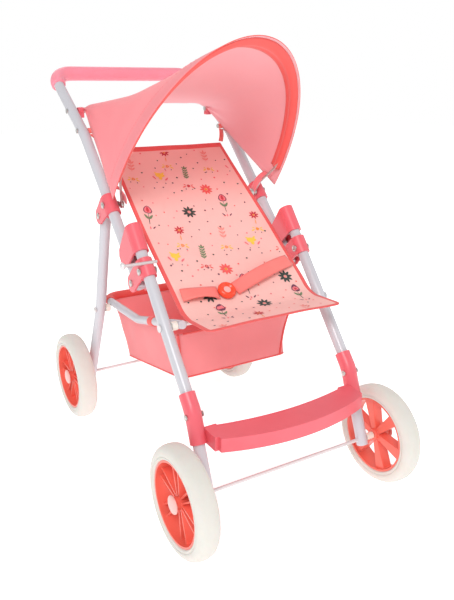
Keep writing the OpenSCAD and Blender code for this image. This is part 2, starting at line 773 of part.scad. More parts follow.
// Front edge: half an ellipse in a plane that leans forwards
function hood_front(u) =
  [-hood_half_w * cos(180 * u), hood_tip.x - hood_lean * hood_rise * sin(180 * u),
   hood_tip.y + hood_rise * sin(180 * u)];
// Rear edge: short sides at the clips and a straight hem between them
function hood_back(u) =
  let (s = 1 - 2 * step((u - 0.22) / 0.56), w = 1 - abs(s))
  [-hood_rear_half * s, hood_rear.x + 3 * min(1, w * 4) - 9 * (1 - min(1, min(u, 1 - u) * 4.5)),
   hood_rear.y + 5 * min(1, w * 4) - 5 * (1 - min(1, min(u, 1 - u) * 4.5))];
function hood_at(u, v) = hood_back(u) * (1 - v) + hood_front(u) * v;
function hood_normal(u, v) =
  let (e = 0.01, a = hood_at(min(1, u + e), v) - hood_at(max(0, u - e), v),
       b = hood_at(u, min(1, v + e)) - hood_at(u, max(0, v - e)))
  unit(cross(a, b)); // towards the inside
module hood() {
  n = hood_nu + 1;
  m = hood_nv + 1;
  grid = [for (j = [0 : hood_nv]) for (i = [0 : hood_nu])
          let (u = i / hood_nu, v = j / hood_nv) hood_at(u, v)];
  inner = [for (j = [0 : hood_nv]) for (i = [0 : hood_nu])
           let (u = i / hood_nu, v = j / hood_nv) hood_at(u, v) + hood_t * hood_normal(u, v)];
  k = n * m;
  faces = concat(
    [for (j = [0 : m - 2]) for (i = [0 : n - 2]) each
      let (a = j * n + i) [[a, a + 1, a + n + 1], [a, a + n + 1, a + n]]],
    [for (j = [0 : m - 2]) for (i = [0 : n - 2]) each
      let (a = k + j * n + i) [[a, a + n + 1, a + 1], [a, a + n, a + n + 1]]],
    [for (i = [0 : n - 2]) each let (a = i) [[a, k + a + 1, a + 1], [a, k + a, k + a + 1]]],
    [for (i = [0 : n - 2]) each
      let (a = (m - 1) * n + i) [[a, a + 1, k + a + 1], [a, k + a + 1, k + a]]],
    [for (j = [0 : m - 2]) each
      let (a = j * n) [[a, a + n, k + a + n], [a, k + a + n, k + a]]],
    [for (j = [0 : m - 2]) each
      let (a = j * n + n - 1) [[a, k + a + n, a + n], [a, k + a, k + a + n]]]);
  color(cloth_pink) polyhedron(points = concat(grid, inner), faces = faces);
}

// Bow: a wire that turns on the connectors and lies inside the hood's front hem
bow_r = 1.8;
bow_in = hood_t + bow_r + 1; // from the cloth's outer face to the middle of the wire
bow_v = 0.96;    // place of the wire between the hood's hem and its front edge
bow_turn = 22;   // steps of the bow's corners round the hood's front edge
function bow_at(u) = hood_at(u, bow_v) + bow_in * hood_normal(u, bow_v);
module hood_bow() {
  foot_x = leg_x - plate_out - side_gap - bow_r;
  P = [for (a = [bow_turn / 2 : bow_turn : 180 - bow_turn / 2]) bow_at(a / 180)];
  foot = [foot_x, hood_pivot.x, hood_pivot.y];
  color(steel) {
    bent(concat([[-foot.x, foot.y, foot.z]], P, [foot]), bow_r, [for (p = P) 30]);
    for (s = [-1, 1]) translate([s * foot.x, foot.y, foot.z]) rotate([0, 90, 0])
      cylinder(r = 5, h = 2 * bow_r, center = true);
  }
}

// Tabs that hold the hood's lower edges to the connectors
module hood_tab(s) {
  x = leg_x - plate_out - side_gap - 2 * bow_r - 2;
  color(cloth_pink) hull() {
    translate([s * x, hood_pivot.x - 2, hood_pivot.y + 8]) cube([1.6, 8, 2], center = true);
    translate([s * (x + 1), hood_pivot.x - 2, hood_pivot.y + 36]) cube([1.6, 9, 2], center = true);
  }
}
module hood_tab_left() { hood_tab(-1); }
module hood_tab_right() { hood_tab(1); }

front_leg_left();
front_leg_right();
lower_bracket_left();
lower_bracket_right();
bracket_rivets();
fold_rivets();
footrest();
footrest_screws();
front_axle();
front_spacers();
seat_rod();
front_bushes();
seat_base();
belt_strap_right();
belt_strap_left();
belt_buckle();
lock_pin();
latch_left();
latch_right();
handle_tube();
handle_grip();
connector_left();
connector_right();
connector_rivets();
rear_leg_rivets();
hood_clip_left();
hood_clip_right();
strap_boss_left();
strap_boss_right();
handle_screws();
seat_back();
seat_ribbon_left();
seat_ribbon_right();
hood();
hood_tab_left();
hood_tab_right();
hood_bow();
rear_leg_left();
rear_leg_right();
rear_axle();
rear_spacers();
rear_bolts();
rear_bushes();
basket_tube();
basket();
front_left_tyre();
front_left_rim();
front_left_cap();
front_right_tyre();
front_right_rim();
front_right_cap();
rear_left_tyre();
rear_left_rim();
rear_left_cap();
rear_right_tyre();
rear_right_rim();
rear_right_cap();
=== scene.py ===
"""Looks of the folding doll stroller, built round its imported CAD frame."""
import json
import math
import random

import bmesh
import bpy
import numpy as np
from mathutils import Matrix, Vector, noise
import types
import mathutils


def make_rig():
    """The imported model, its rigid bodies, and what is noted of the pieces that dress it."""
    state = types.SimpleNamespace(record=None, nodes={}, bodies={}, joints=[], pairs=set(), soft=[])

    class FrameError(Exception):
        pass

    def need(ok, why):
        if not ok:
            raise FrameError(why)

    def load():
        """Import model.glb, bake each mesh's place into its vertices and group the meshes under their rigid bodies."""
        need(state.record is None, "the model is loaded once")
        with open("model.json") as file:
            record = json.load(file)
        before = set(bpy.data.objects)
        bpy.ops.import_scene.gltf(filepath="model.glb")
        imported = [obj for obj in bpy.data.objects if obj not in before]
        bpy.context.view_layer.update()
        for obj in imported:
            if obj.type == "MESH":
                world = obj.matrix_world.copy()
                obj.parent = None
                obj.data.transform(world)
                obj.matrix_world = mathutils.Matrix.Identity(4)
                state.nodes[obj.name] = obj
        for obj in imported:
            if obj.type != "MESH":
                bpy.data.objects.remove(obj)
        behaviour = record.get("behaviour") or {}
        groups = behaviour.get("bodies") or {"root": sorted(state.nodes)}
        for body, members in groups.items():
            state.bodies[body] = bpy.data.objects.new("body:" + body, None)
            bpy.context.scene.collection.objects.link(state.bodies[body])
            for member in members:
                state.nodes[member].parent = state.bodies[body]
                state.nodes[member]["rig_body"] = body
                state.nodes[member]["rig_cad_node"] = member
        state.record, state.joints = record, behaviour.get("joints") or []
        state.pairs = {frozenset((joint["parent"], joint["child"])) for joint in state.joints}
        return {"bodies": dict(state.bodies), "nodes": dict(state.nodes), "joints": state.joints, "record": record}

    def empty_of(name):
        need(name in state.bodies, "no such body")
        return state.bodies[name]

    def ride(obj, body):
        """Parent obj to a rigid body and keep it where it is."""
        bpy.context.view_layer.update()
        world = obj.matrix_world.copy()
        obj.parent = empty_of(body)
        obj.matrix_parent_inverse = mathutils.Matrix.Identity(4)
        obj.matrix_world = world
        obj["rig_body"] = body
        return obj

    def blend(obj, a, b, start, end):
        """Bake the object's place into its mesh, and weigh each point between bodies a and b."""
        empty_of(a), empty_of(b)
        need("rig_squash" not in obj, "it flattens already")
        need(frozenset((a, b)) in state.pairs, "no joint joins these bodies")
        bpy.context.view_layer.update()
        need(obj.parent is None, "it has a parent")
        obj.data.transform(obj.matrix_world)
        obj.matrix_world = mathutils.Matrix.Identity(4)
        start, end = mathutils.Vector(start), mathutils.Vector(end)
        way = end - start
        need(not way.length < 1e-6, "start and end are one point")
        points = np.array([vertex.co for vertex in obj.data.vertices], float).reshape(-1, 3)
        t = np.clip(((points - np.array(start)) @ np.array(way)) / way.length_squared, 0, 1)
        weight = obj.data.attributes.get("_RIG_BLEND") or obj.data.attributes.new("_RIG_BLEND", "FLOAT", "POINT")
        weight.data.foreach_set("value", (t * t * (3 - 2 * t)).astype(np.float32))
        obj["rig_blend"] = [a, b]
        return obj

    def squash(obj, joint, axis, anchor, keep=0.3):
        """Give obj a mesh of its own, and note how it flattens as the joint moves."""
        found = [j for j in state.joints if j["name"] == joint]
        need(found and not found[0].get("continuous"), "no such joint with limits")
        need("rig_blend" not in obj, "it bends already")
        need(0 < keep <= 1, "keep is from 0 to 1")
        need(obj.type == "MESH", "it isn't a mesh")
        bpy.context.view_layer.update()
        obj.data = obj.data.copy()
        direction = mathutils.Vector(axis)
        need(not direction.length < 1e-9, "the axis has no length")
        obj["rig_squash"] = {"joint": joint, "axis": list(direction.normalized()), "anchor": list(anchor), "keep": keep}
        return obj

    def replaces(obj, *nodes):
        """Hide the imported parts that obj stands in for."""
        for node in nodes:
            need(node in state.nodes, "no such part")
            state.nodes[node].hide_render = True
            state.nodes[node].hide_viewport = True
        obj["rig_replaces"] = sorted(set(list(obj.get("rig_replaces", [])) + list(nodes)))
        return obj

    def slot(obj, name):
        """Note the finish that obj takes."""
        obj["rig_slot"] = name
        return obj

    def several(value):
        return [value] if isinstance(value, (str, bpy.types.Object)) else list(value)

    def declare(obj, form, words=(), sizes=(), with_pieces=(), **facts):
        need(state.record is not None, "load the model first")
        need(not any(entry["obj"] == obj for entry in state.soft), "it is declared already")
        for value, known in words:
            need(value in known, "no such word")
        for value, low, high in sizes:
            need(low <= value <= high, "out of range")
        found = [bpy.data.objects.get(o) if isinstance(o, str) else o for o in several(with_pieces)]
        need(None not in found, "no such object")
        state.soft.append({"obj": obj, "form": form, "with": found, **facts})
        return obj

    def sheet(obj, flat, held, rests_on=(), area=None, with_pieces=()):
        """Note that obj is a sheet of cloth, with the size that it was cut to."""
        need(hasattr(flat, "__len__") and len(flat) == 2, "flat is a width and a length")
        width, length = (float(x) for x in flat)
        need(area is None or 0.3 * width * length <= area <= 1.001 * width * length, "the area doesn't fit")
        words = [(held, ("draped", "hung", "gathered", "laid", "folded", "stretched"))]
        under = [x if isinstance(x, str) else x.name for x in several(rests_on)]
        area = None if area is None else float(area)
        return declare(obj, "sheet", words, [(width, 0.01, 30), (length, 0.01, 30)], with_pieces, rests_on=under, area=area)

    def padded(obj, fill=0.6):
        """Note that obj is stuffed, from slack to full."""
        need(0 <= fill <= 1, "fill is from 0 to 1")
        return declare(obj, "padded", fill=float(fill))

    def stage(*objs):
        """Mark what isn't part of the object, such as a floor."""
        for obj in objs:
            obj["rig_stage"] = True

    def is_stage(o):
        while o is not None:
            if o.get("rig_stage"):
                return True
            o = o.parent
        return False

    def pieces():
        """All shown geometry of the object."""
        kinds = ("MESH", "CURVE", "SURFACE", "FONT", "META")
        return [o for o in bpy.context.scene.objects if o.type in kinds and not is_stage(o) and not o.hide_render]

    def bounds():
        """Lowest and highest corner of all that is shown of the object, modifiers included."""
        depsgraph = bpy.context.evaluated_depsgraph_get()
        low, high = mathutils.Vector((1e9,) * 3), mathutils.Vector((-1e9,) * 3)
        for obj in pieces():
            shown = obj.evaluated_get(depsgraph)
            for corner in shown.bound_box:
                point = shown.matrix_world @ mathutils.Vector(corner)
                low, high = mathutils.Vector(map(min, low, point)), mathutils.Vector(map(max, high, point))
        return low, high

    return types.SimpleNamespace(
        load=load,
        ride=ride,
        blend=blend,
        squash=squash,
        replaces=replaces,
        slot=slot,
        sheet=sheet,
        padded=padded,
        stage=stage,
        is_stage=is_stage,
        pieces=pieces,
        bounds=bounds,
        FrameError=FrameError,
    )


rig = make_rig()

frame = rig.load()
SIZE_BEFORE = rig.bounds()
NODES = frame["nodes"]

bl_info = {
    "name": "Doll stroller",
    "version": (1, 0, 0),
    "blender": (4, 5, 0),
    "location": "3D View > Sidebar > Stroller",
    "description": "Builds the visible parts of a folding doll stroller round its CAD frame",
    "category": "Object",
}

# ---------------------------------------------------------------------------
# Side frame of the CAD design, in millimetres: y to the back, z up
# ---------------------------------------------------------------------------
WHEEL_R, TYRE_W, RIM_R = 72.0, 30.0, 54.0
FRONT_Y = -222.007
REAR_Y = FRONT_Y + 408.0
LEG_X, TUBE_R = 126.0, 8.0
LEG_FOOT_RUN, LEG_FOOT_RISE = 37.0, 95.0
LEG_SLOPE, HANDLE_SLOPE, GRIP_SLOPE, SEAT_SLOPE = 50.8, 45.0, 33.0, 36.9
FOLD_ALONG = 194.0
BASKET_HALF, BASKET_TUBE_R, BASKET_DROP, BASKET_BACK_DROP = 104, 6.0, 38.0, 5.0
HOOD_HALF, HOOD_RISE, HOOD_LEAN = 135.0, 207.0, 0.74
PLATE_T, RIVET_OUT = 2.8, 1.6


def direction(a):
    """Unit vector in the side view at the given degrees above straight back."""
    a = math.radians(a)
    return np.array([math.cos(a), math.sin(a)])


def below(a):
    """Unit vector square to direction(a), on its lower side."""
    a = math.radians(a)
    return np.array([math.sin(a), -math.cos(a)])


LEG_FOOT = np.array([FRONT_Y, WHEEL_R])
LEG_BEND = LEG_FOOT + [LEG_FOOT_RUN, LEG_FOOT_RISE]
LEG_TOP = LEG_BEND + 257.0 * direction(LEG_SLOPE)
FOLD_P = LEG_BEND + FOLD_ALONG * direction(LEG_SLOPE) + 37.0 * below(LEG_SLOPE)
BASKET_P = LEG_BEND + 113.0 * direction(LEG_SLOPE)
HANDLE_BEND = FOLD_P + 254.0 * direction(HANDLE_SLOPE)
GRIP_P = HANDLE_BEND + 163.0 * direction(GRIP_SLOPE)
REAR_P = FOLD_P + 130.0 * direction(HANDLE_SLOPE) + 28.0 * below(HANDLE_SLOPE)
BOLT_P = np.array([FRONT_Y + 346.0, 207.0])
BASKET_BEND = BASKET_P + [138.0, -BASKET_DROP]
BASKET_BACK = np.array([FRONT_Y + 382.0, BASKET_BEND[1] - BASKET_BACK_DROP])
CLIP_P = HANDLE_BEND + 62.0 * direction(GRIP_SLOPE)
BOSS_P = HANDLE_BEND + 13.0 * direction(GRIP_SLOPE)
CREASE = BASKET_P + [-7.0, 11.5]
PAN, BACK = 66.0, 316.0
SEAT_TOP = CREASE + BACK * direction(SEAT_SLOPE)
HOOD_PIVOT = FOLD_P + 122.0 * direction(HANDLE_SLOPE) - 8.0 * below(HANDLE_SLOPE)
HOOD_TIP = HOOD_PIVOT + [-24.0, 13.0]
HOOD_REAR = CLIP_P + [1.0, 5.0]


def at(x, p):
    """Point in space from x and a point of the side view."""
    return np.array([x, p[0], p[1]], float)


# ---------------------------------------------------------------------------
# Colours and shader nodes
# ---------------------------------------------------------------------------
def linear(hex_code):
    """Linear colour of an sRGB hex code."""
    out = []
    for i in (1, 3, 5):
        c = int(hex_code[i:i + 2], 16) / 255
        out.append(c / 12.92 if c <= 0.04045 else ((c + 0.055) / 1.055) ** 2.4)
    return (*out, 1.0)


def add_node(tree, kind, links=(), **values):
    """Adds a node. Values name its properties or its input sockets; links are (socket, output)."""
    node = tree.nodes.new(kind)
    for name, value in values.items():
        if hasattr(node, name):
            setattr(node, name, value)
        else:
            node.inputs[name.replace("_", " ")].default_value = value
    for name, output in links:
        tree.links.new(output, node.inputs[name])
    return node


def new_material(name, colour, roughness, **values):
    """A material with a Principled shader; returns it, its tree and the shader."""
    mat = bpy.data.materials.new(name)
    mat.use_nodes = True
    tree = mat.node_tree
    shader = tree.nodes["Principled BSDF"]
    shader.inputs["Base Color"].default_value = linear(colour)
    shader.inputs["Roughness"].default_value = roughness
    for key, value in values.items():
        shader.inputs[key.replace("_", " ")].default_value = value
    mat.diffuse_color = linear(colour)
    return mat, tree, shader


def bump(tree, shader, height, strength, distance):
    """Roughens the shader's surface by the given height output."""
    node = add_node(tree, "ShaderNodeBump", [("Height", height)], Strength=strength,
                    Distance=distance)
    tree.links.new(node.outputs["Normal"], shader.inputs["Normal"])


def mottled(tree, shader, colour, other, scale):
    """Lets the colour drift a little between two shades, with the given patches per metre."""
    coords = add_node(tree, "ShaderNodeTexCoord")
    cloud = add_node(tree, "ShaderNodeTexNoise", [("Vector", coords.outputs["Object"])],
                     Scale=scale, Detail=3.0)
    mix = add_node(tree, "ShaderNodeMix", data_type="RGBA")
    tree.links.new(cloud.outputs["Fac"], mix.inputs[0])
    mix.inputs[6].default_value = linear(colour)
    mix.inputs[7].default_value = linear(other)
    tree.links.new(mix.outputs[2], shader.inputs["Base Color"])
    return coords


def plastic(name, colour, shade, roughness):
    """Injection-moulded plastic: satin, with a fine uneven skin."""
    mat, tree, shader = new_material(name, colour, roughness, Subsurface_Weight=0.06,
                                     Subsurface_Scale=0.004, Coat_Weight=0.12,
                                     Coat_Roughness=0.25)
    coords = mottled(tree, shader, colour, shade, 40.0)
    grain = add_node(tree, "ShaderNodeTexNoise", [("Vector", coords.outputs["Object"])],
                     Scale=900.0, Detail=2.0)
    bump(tree, shader, grain.outputs["Fac"], 0.06, 0.0004)
    return mat


def foam(name, colour, shade, cells, depth, roughness=0.75):
    """Closed-cell foam: matt, pitted with small cells."""
    mat, tree, shader = new_material(name, colour, roughness, Subsurface_Weight=0.1,
                                     Subsurface_Scale=0.005, Sheen_Weight=0.15)
    coords = mottled(tree, shader, colour, shade, 60.0)
    cell = add_node(tree, "ShaderNodeTexVoronoi", [("Vector", coords.outputs["Object"])],
                    Scale=cells)
    bump(tree, shader, cell.outputs["Distance"], 0.25, depth)
    return mat


def cloth(name, colour, shade, thread=0.55, sheer=0.0):
    """Plain-weave polyester. The piece's UV is in millimetres; thread is the weave's step."""
    mat, tree, shader = new_material(name, colour, 0.72, Sheen_Weight=0.25,
                                     Sheen_Roughness=0.4)
    uv = add_node(tree, "ShaderNodeUVMap", uv_map="mm")
    coords = mottled(tree, shader, colour, shade, 18.0)
    split = add_node(tree, "ShaderNodeSeparateXYZ", [("Vector", uv.outputs["UV"])])
    waves = []
    for axis in "XY":
        turn = add_node(tree, "ShaderNodeMath", [(0, split.outputs[axis])],
                        operation="MULTIPLY")
        turn.inputs[1].default_value = 2 * math.pi / thread
        waves.append(add_node(tree, "ShaderNodeMath", [(0, turn.outputs[0])], operation="SINE"))
    weave = add_node(tree, "ShaderNodeMath", [(0, waves[0].outputs[0]), (1, waves[1].outputs[0])],
                     operation="MULTIPLY")
    folds = add_node(tree, "ShaderNodeTexNoise", [("Vector", coords.outputs["Object"])],
                     Scale=24.0, Detail=4.0, Roughness=0.55, Distortion=0.6)
    first = add_node(tree, "ShaderNodeBump", [("Height", folds.outputs["Fac"])], Strength=0.35,
                     Distance=0.003)
    second = add_node(tree, "ShaderNodeBump",
                      [("Height", weave.outputs[0]), ("Normal", first.outputs["Normal"])],
                      Strength=0.12, Distance=0.0001)
    tree.links.new(second.outputs["Normal"], shader.inputs["Normal"])
    if sheer:
        through = add_node(tree, "ShaderNodeBsdfTranslucent", Color=linear(colour))
        tree.links.new(first.outputs["Normal"], through.inputs["Normal"])
        mix = add_node(tree, "ShaderNodeMixShader",
                       [(1, shader.outputs[0]), (2, through.outputs[0])])
        mix.inputs[0].default_value = sheer
        tree.links.new(mix.outputs[0], tree.nodes["Material Output"].inputs["Surface"])
    return mat


def webbing(name, colour, shade, rib=1.6):
    """Narrow woven tape with cross ribs; UV in millimetres."""
    mat, tree, shader = new_material(name, colour, 0.68, Sheen_Weight=0.2)
    uv = add_node(tree, "ShaderNodeUVMap", uv_map="mm")
    mottled(tree, shader, colour, shade, 30.0)
    split = add_node(tree, "ShaderNodeSeparateXYZ", [("Vector", uv.outputs["UV"])])
    turn = add_node(tree, "ShaderNodeMath", [(0, split.outputs["Y"])], operation="MULTIPLY")
    turn.inputs[1].default_value = 2 * math.pi / rib
    wave = add_node(tree, "ShaderNodeMath", [(0, turn.outputs[0])], operation="SINE")
    bump(tree, shader, wave.outputs[0], 0.3, 0.0003)
    return mat


def flat_print(name, colour):
    """Printing ink on the seat's cloth."""
    return new_material(name, colour, 0.7, Sheen_Weight=0.15)[0]


MATS = {}


def make_materials():
    """All finishes, named for what they are made of; the pale pink plastic also paints the buckle's highlight."""
    m = MATS
    # white powder coat on steel tube
    m["white"], tree, shader = new_material("white powder coat", "#C6C6CC", 0.32,
                                            Coat_Weight=0.35, Coat_Roughness=0.15)
    coords = add_node(tree, "ShaderNodeTexCoord")
    peel = add_node(tree, "ShaderNodeTexNoise", [("Vector", coords.outputs["Object"])],
                    Scale=260.0, Detail=2.0)
    bump(tree, shader, peel.outputs["Fac"], 0.05, 0.0006)
    # moulded polypropylene of brackets, latches and footrest
    m["pink"] = plastic("moulded pink plastic", "#EA6873", "#E4606C", 0.36)
    m["coral"] = plastic("moulded coral plastic", "#F0705F", "#EA6656", 0.3)
    m["cream"] = plastic("cream nylon", "#EFEAE0", "#E9E2D6", 0.45)
    # pale pink plastic of the hub caps; it also fills the buckle's dished centre as a painted highlight
    m["cap"] = plastic("pale pink plastic and painted buckle highlight", "#F3BDB6", "#EFB3AD", 0.4)
    m["buckle"] = plastic("orange acetal", "#FF5534", "#FA4B2D", 0.25)
    # expanded foam of tyres and grip
    m["tyre"] = foam("cream EVA foam", "#DDDBD4", "#D5D2CA", 700.0, 0.0005)
    m["grip"] = foam("pink grip foam", "#F794A6", "#F38A9B", 1400.0, 0.0003, 0.5)
    # zinc-plated steel of rivets, screws and wire
    m["steel"] = new_material("zinc-plated steel", "#C9C7C4", 0.3, Metallic=0.9)[0]
    m["axle"] = new_material("grey painted rod", "#DEDCDD", 0.35, Metallic=0.25)[0]
    # polyester cloths
    m["hood"] = cloth("pink hood polyester", "#FF9AA0", "#FB9299", sheer=0.2)
    m["hood_in"] = cloth("pink hood lining", "#FFCDD2", "#FFC6CC", sheer=0.3)
    m["band"] = cloth("coral facing cloth", "#F0605B", "#E85852")
    m["seat"] = cloth("salmon pink seat cloth", "#FFD2CA", "#FFC9C1", sheer=0.1)
    m["basket"] = cloth("pink basket cloth", "#FFA5A7", "#FB9CA0", sheer=0.25)
    m["binding"] = webbing("coral binding tape", "#F0615F", "#E85A58")
    m["strap"] = webbing("coral belt webbing", "#FF877F", "#F97B74")
    m["thread"] = new_material("pink sewing thread", "#F7848A", 0.6)[0]
    for key, code in {"ink_dark": "#33423D", "ink_coral": "#F0605C", "ink_red": "#C93A45",
                      "ink_yellow": "#F8D04A", "ink_orange": "#F09A3A", "ink_green": "#6E8C64",
                      "ink_plum": "#6B3550", "ink_rose": "#F07C84", "ink_pink": "#F79A90"}.items():
        m[key] = flat_print(key.replace("ink_", "printing ink, "), code)


# ---------------------------------------------------------------------------
# Mesh helpers. Points are in millimetres and are stored in metres.
# ---------------------------------------------------------------------------
def mesh_object(name, points, faces, mats, slots=None, uv=None, smooth=True):
    """A mesh object from points and faces; slots gives each face's material, uv each point's."""
    data = bpy.data.meshes.new(name)
    data.from_pydata([tuple(float(c) / 1000 for c in p) for p in points], [], faces)
    for m in mats:
        data.materials.append(m)
    if slots is not None:
        data.polygons.foreach_set("material_index", np.array(slots, np.int32))
    if uv is not None:
        layer = data.uv_layers.new(name="mm")
        loops = np.zeros(len(data.loops), np.int32)
        data.loops.foreach_get("vertex_index", loops)
        layer.data.foreach_set("uv", np.array(uv, np.float32)[loops].ravel())
    data.polygons.foreach_set("use_smooth", [smooth] * len(data.polygons))
    data.update()
    obj = bpy.data.objects.new(name, data)
    bpy.context.scene.collection.objects.link(obj)
    return obj


def outward(obj):
    """Turns every face of a closed mesh outwards."""
    work = bmesh.new()
    work.from_mesh(obj.data)
    bmesh.ops.recalc_face_normals(work, faces=work.faces)
    work.to_mesh(obj.data)
    work.free()
    return obj


def grid_faces(rows, cols, closed=False, start=0, flip=False):
    """Four-sided faces of a grid of points; closed joins each row's ends."""
    out = []
    for j in range(rows - 1):
        for i in range(cols if closed else cols - 1):
            a, b = start + j * cols + i, start + j * cols + (i + 1) % cols
            face = (a, b, b + cols, a + cols)
            out.append(face[::-1] if flip else face)
    return out


def grid_normals(g):
    """Unit normals of a grid of points, rows by columns."""
    du = np.gradient(g, axis=1)
    dv = np.gradient(g, axis=0)
    n = np.cross(du, dv)
    return n / np.maximum(np.linalg.norm(n, axis=2, keepdims=True), 1e-9)


def steps(line):
    """Lengths of the steps between a line's points."""
    return np.linalg.norm(np.diff(line, axis=0), axis=1)


def shell(name, g, thick, mats, slot_of):
    """Closed cloth of the given thickness over grid g. slot_of(u, v, side) picks materials."""
    rows, cols = g.shape[:2]
    n = grid_normals(g)
    points = np.concatenate([(g + n * thick / 2).reshape(-1, 3), (g - n * thick / 2).reshape(-1, 3)])
    k = rows * cols
    faces, slots = [], []
    for side, start in ((0, 0), (1, k)):
        fs = grid_faces(rows, cols, start=start, flip=side == 1)
        faces += fs
        for f in range(len(fs)):
            j, i = divmod(f, cols - 1)
            slots.append(slot_of((i + 0.5) / (cols - 1), (j + 0.5) / (rows - 1), side))
    edge = list(range(cols)) + [j * cols + cols - 1 for j in range(1, rows)]
    edge += [(rows - 1) * cols + i for i in range(cols - 2, -1, -1)]
    edge += [j * cols for j in range(rows - 2, 0, -1)]
    for a, b in zip(edge, edge[1:] + edge[:1]):
        faces.append((b, a, a + k, b + k))
        j, i = divmod(a, cols)
        slots.append(slot_of(i / (cols - 1), j / (rows - 1), 2))
    across = np.concatenate([[0], np.cumsum(steps(g[rows // 2]))])
    down = np.concatenate([[0], np.cumsum(steps(g[:, cols // 2]))])
    uv = np.stack(np.meshgrid(across, down), -1).reshape(-1, 2)
    obj = mesh_object(name, points, faces, mats, slots, np.concatenate([uv, uv]))
    return outward(obj)


def grid_area(g):
    """Area of a grid of points, in square metres."""
    a = np.cross(g[1:, :-1] - g[:-1, :-1], g[:-1, 1:] - g[:-1, :-1])
    b = np.cross(g[1:, :-1] - g[1:, 1:], g[:-1, 1:] - g[1:, 1:])
    return float((np.linalg.norm(a, axis=2) + np.linalg.norm(b, axis=2)).sum() / 2) * 1e-6


def rounded(points, radii, step=6.0):
    """A line through points with its inner corners rounded, as many closely set points."""
    corners = [np.array(p, float) for p in points]
    out = [corners[0]]
    for a, b, c, r in zip(corners, corners[1:], corners[2:], radii):
        u, v = (b - a) / np.linalg.norm(b - a), (c - b) / np.linalg.norm(c - b)
        turn = math.acos(float(np.clip(u @ v, -1, 1)))
        if turn < 1e-4:
            continue
        cut = r * math.tan(turn / 2)
        start = b - u * cut
        side = v - u * (u @ v)
        side /= np.linalg.norm(side)
        centre = start + side * r
        n = max(3, int(turn / math.radians(step)) + 1)
        for k in range(n + 1):
            t = turn * k / n
            out.append(centre - side * r * math.cos(t) + u * r * math.sin(t))
    out.append(corners[-1])
    return out


def frames(path):
    """The line's direction at each point with two unit vectors square to it, without twist."""
    last = len(path) - 1
    tangents = []
    for i in range(len(path)):
        t = path[min(i + 1, last)] - path[max(i - 1, 0)]
        tangents.append(t / np.linalg.norm(t))
    ref = np.array([1.0, 0, 0]) if abs(tangents[0][0]) < 0.9 else np.array([0, 0, 1.0])
    out = []
    for t in tangents:
        ref = ref - t * (ref @ t)
        ref /= np.linalg.norm(ref)
        out.append((t, ref.copy(), np.cross(t, ref)))
    return out


def sweep(name, path, radius, mats, sides=32, round_end=1.2):
    """A round bar along a path with softly rounded, closed ends."""
    line = [np.array(p, float) for p in path]
    square = frames(line)
    turn = [math.pi / 6 * k for k in range(4)]
    rings = [(line[0] + square[0][0] * round_end * (1 - math.cos(a)), square[0],
              radius - round_end * (1 - math.sin(a))) for a in turn]
    rings += [(p, f, radius) for p, f in zip(line[1:-1], square[1:-1])]
    rings += [(line[-1] - square[-1][0] * round_end * (1 - math.cos(a)), square[-1],
               radius - round_end * (1 - math.sin(a))) for a in turn[::-1]]
    points = []
    for c, (t, u, v), r in rings:
        for i in range(sides):
            a = 2 * math.pi * i / sides
            points.append(c + (u * math.cos(a) + v * math.sin(a)) * r)
    faces = grid_faces(len(rings), sides, closed=True)
    points += [line[0], line[-1]]
    first, last = len(points) - 2, len(points) - 1
    base = (len(rings) - 1) * sides
    for i in range(sides):
        faces.append((first, (i + 1) % sides, i))
        faces.append((last, base + i, base + (i + 1) % sides))
    return outward(mesh_object(name, points, faces, mats))


def lathe(name, profile, mats, slot_of=None, sides=96, ripple=None):
    """Turned piece about Z from (radius, height) points; a profile's ends on the axis close it."""
    points, faces, slots = [], [], []
    loops = []
    for k, (r, h) in enumerate(profile):
        if r < 1e-6:
            loops.append([len(points)])
            points.append((0, 0, h))
            continue
        loops.append(list(range(len(points), len(points) + sides)))
        for i in range(sides):
            a = 2 * math.pi * i / sides
            rr = r + (ripple(k, a) if ripple else 0)
            points.append((rr * math.cos(a), rr * math.sin(a), h))
    pairs = list(zip(loops, loops[1:]))
    if profile[0][0] > 1e-6 and profile[-1][0] > 1e-6:
        pairs.append((loops[-1], loops[0]))
    for k, (a, b) in enumerate(pairs):
        for i in range(sides):
            j = (i + 1) % sides
            if len(a) == 1:
                face = (a[0], b[i], b[j])
            elif len(b) == 1:
                face = (a[i], b[0], a[j])
            else:
                face = (a[i], b[i], b[j], a[j])
            faces.append(face)
            slots.append(slot_of(k) if slot_of else 0)
    return outward(mesh_object(name, points, faces, mats, slots))


def place(obj, matrix):
    """Moves the mesh itself, so that the object stays at the origin."""
    obj.data.transform(matrix)
    obj.data.update()
    return obj


def joined(name, objs):
    """One object made of several meshes."""
    work = bmesh.new()
    mats = []
    for o in objs:
        index = []
        for m in o.data.materials:
            if m not in mats:
                mats.append(m)
            index.append(mats.index(m))
        start = len(work.faces)
        work.from_mesh(o.data)
        work.faces.ensure_lookup_table()
        for f in work.faces[start:]:
            f.material_index = index[f.material_index] if index else 0
    data = bpy.data.meshes.new(name)
    work.to_mesh(data)
    work.free()
    for m in mats:
        data.materials.append(m)
    for o in objs:
        bpy.data.objects.remove(o)
    obj = bpy.data.objects.new(name, data)
    bpy.context.scene.collection.objects.link(obj)
    return obj


EDGE_ANGLE = math.radians(32)


def dress(node, mat, bevel):
    """Gives a CAD node its finish, smooth shading and softly rounded edges."""
    obj = NODES[node]
    obj.data.materials.clear()
    obj.data.materials.append(mat)
    obj.data.polygons.foreach_set("material_index", [0] * len(obj.data.polygons))
    obj.data.polygons.foreach_set("use_smooth", [True] * len(obj.data.polygons))
    weld = obj.modifiers.new("weld", "WELD")
    weld.merge_threshold = 0.00002
    soft = obj.modifiers.new("soft edges", "BEVEL")
    soft.width = bevel / 1000
    soft.segments = 3
    soft.limit_method = "ANGLE"
    soft.angle_limit = EDGE_ANGLE
    soft.use_clamp_overlap = True
    soft.harden_normals = False
    normal = obj.modifiers.new("even shading", "WEIGHTED_NORMAL")
    normal.keep_sharp = True


